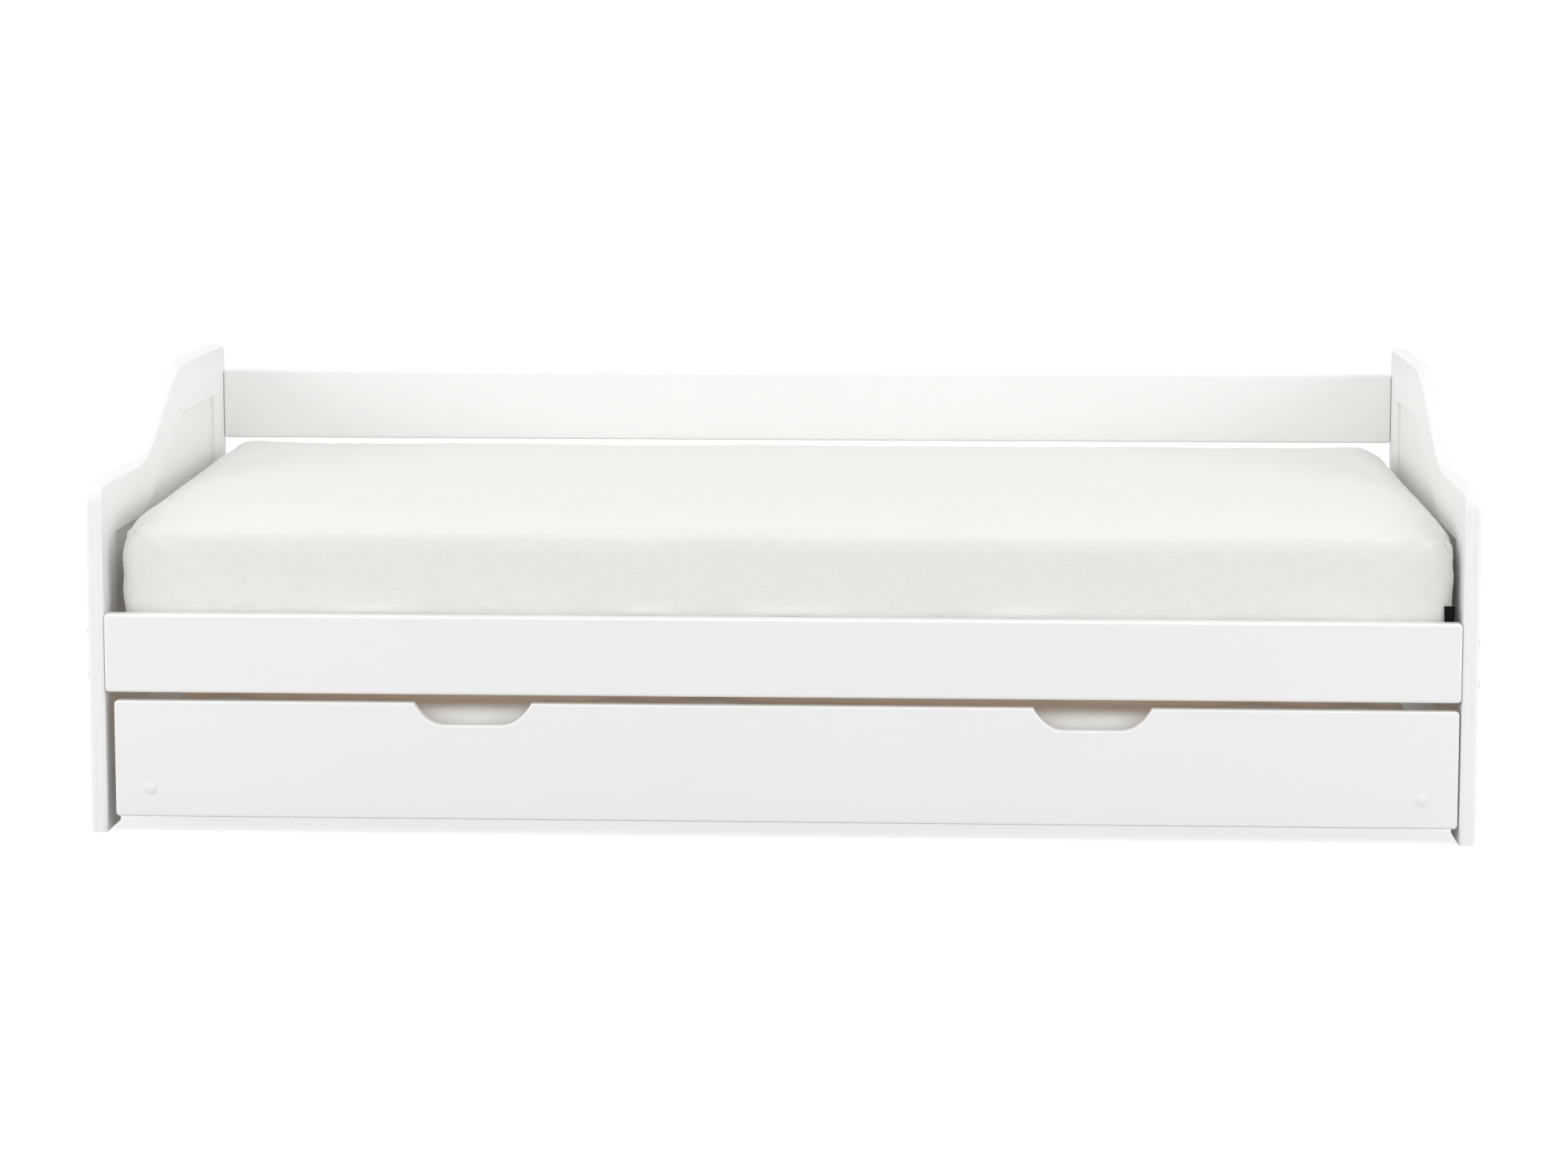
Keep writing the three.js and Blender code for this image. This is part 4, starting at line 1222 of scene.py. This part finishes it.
def wheel_profile(radius, half_width, bore):
    """A wheel's section, closed on itself: a rounded tread with two grooves, a dished face and a hub boss."""
    shoulder = half_width * 0.25
    floor, dish = radius - TREAD_GROOVE, half_width * 0.78
    groove = [(radius, half_width * 0.24), (floor, half_width * 0.3)]
    groove += [(floor, half_width * 0.36), (radius, half_width * 0.42)]
    outer = arc((radius - shoulder, half_width - shoulder), shoulder, 0, 90, 4)
    face = [(radius * 0.72, half_width), (radius * 0.68, dish), (radius * 0.42, dish)]
    face += [(radius * 0.38, half_width), (bore, half_width)]
    top = groove + outer + face
    return [(out, -aside) for out, aside in top[::-1]] + top


for end in ("front", "rear"):
    for side in ("left", "right"):
        name = f"{end}_{side}_castor"
        low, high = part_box(f"{name}_wheel")
        centre = (low + high) / 2
        axle_low, axle_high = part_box(f"{name}_axle")
        bore = (axle_high.z - axle_low.z) / 2 * AXLE_PLAY
        mesh = turned("wheel", wheel_profile((high.z - low.z) / 2, (high.x - low.x) / 2, bore), 56)
        body = f"{end}_{side}_wheel"
        wheel = set_fasteners(f"{name}_roller", [tuple(centre)], mesh, (1, 0, 0), nylon, body, "grey_nylon")
        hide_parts(f"{name}_wheel")
        refinish(f"{name}_fork", zinc_plate)
        refinish(f"{name}_axle", zinc_plate)
        fork_low, fork_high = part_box(f"{name}_fork")
        plate = (fork_low + fork_high) / 2
        under = fork_high.z - PLATE_THICKNESS
        screws = [
            (plate.x + across * PLATE_SCREW_REACH[0], plate.y + along * PLATE_SCREW_REACH[1], under)
            for across in (-1, 1)
            for along in (-1, 1)
        ]
        set_screws(f"{name}_screws", screws, (0, 0, -1), "trundle", 31)

# ---- Studio --------------------------------------------------------------------------------------
# A pale floor in an even white surround, a large soft light on each side, and a weak warm light in the
# space under the slats. The camera stands well back, a little over a metre up, with a long lens.
FLOOR_REACH = 40.0
FLOOR_SHADE = (0.62, 0.62, 0.62, 1)  # what the floor throws back at the bed
SEEN_FLOOR = (0.3, 0.3, 0.3, 1)  # what the camera sees of it, with the lift added
FLOOR_LIFT = 0.8
SURROUND = 0.98
SEEN_SURROUND = 1.1
SIDE_LIGHT = (2.4, 2.4)
floor_mesh = bpy.data.meshes.new("floor")
square = ((-1, -1), (1, -1), (1, 1), (-1, 1))
floor_mesh.from_pydata([(x * FLOOR_REACH, y * FLOOR_REACH, 0) for x, y in square], [], [(0, 1, 2, 3)])
pale_floor = bpy.data.materials.new("pale_floor")
pale_floor.use_nodes = True
floor_tree = pale_floor.node_tree
floor_shader = floor_tree.nodes["Principled BSDF"]
floor_shader.inputs["Roughness"].default_value = 0.95
floor_shader.inputs["Specular IOR Level"].default_value = 0.0
floor_shader.inputs["Emission Color"].default_value = (1, 1, 1, 1)
seen = node(floor_tree, "ShaderNodeLightPath").outputs["Is Camera Ray"]
fill(floor_tree, floor_shader.inputs["Emission Strength"], maths(floor_tree, "MULTIPLY", seen, FLOOR_LIFT))
fill(floor_tree, floor_shader.inputs["Base Color"], mixed(floor_tree, seen, FLOOR_SHADE, SEEN_FLOOR))
floor_mesh.materials.append(pale_floor)
shown("floor", floor_mesh)

studio = bpy.data.worlds.new("studio")
studio.use_nodes = True
studio_tree = studio.node_tree
surround = studio_tree.nodes["Background"].inputs
surround["Color"].default_value = (1, 1, 1, 1)
seen = node(studio_tree, "ShaderNodeLightPath").outputs["Is Camera Ray"]
strength = maths(studio_tree, "MULTIPLY_ADD", seen, SEEN_SURROUND - SURROUND, SURROUND)
fill(studio_tree, surround["Strength"], strength)
bpy.context.scene.world = studio
bpy.context.scene.view_settings.view_transform = "Standard"
bpy.context.scene.cycles.diffuse_bounces = 10


def soft_light(name, place, target, size, power, colour=(1, 1, 1)):
    """An area light that points at a target. size is its width and its height."""
    lamp = bpy.data.lights.new(name, "AREA")
    lamp.shape = "RECTANGLE"
    lamp.size, lamp.size_y = size
    lamp.energy = power
    lamp.color = colour
    holder = bpy.data.objects.new(name, lamp)
    bpy.context.scene.collection.objects.link(holder)
    holder.location = place
    holder.rotation_euler = (Vector(target) - Vector(place)).to_track_quat("-Z", "Y").to_euler()


soft_light("right_light", (4.9, -2.6, 2.1), (-0.6, 0, 0.4), SIDE_LIGHT, 62)
soft_light("left_light", (-4.9, -2.6, 2.1), (0.6, 0, 0.4), SIDE_LIGHT, 64)
soft_light("fill_under_slats", (0, 0, 0.232), (0, 0, 0), (1.9, 0.8), 1.0, (1.0, 0.86, 0.78))

CAMERA_PLACE = (0.2545, -5.7809, 1.2095)
CAMERA_TURN = 2.640
CAMERA_DIP = 6.433
SENSOR_WIDTH = 36
FOCAL_LENGTH = 83.68
lens = bpy.data.cameras.new("camera")
lens.sensor_width = SENSOR_WIDTH
lens.lens = FOCAL_LENGTH
lens.shift_y = -0.10
lens.clip_end = 100
camera = bpy.data.objects.new("camera", lens)
bpy.context.scene.collection.objects.link(camera)
camera.location = CAMERA_PLACE
camera.rotation_euler = (math.radians(90 - CAMERA_DIP), 0, math.radians(CAMERA_TURN))
bpy.context.scene.camera = camera
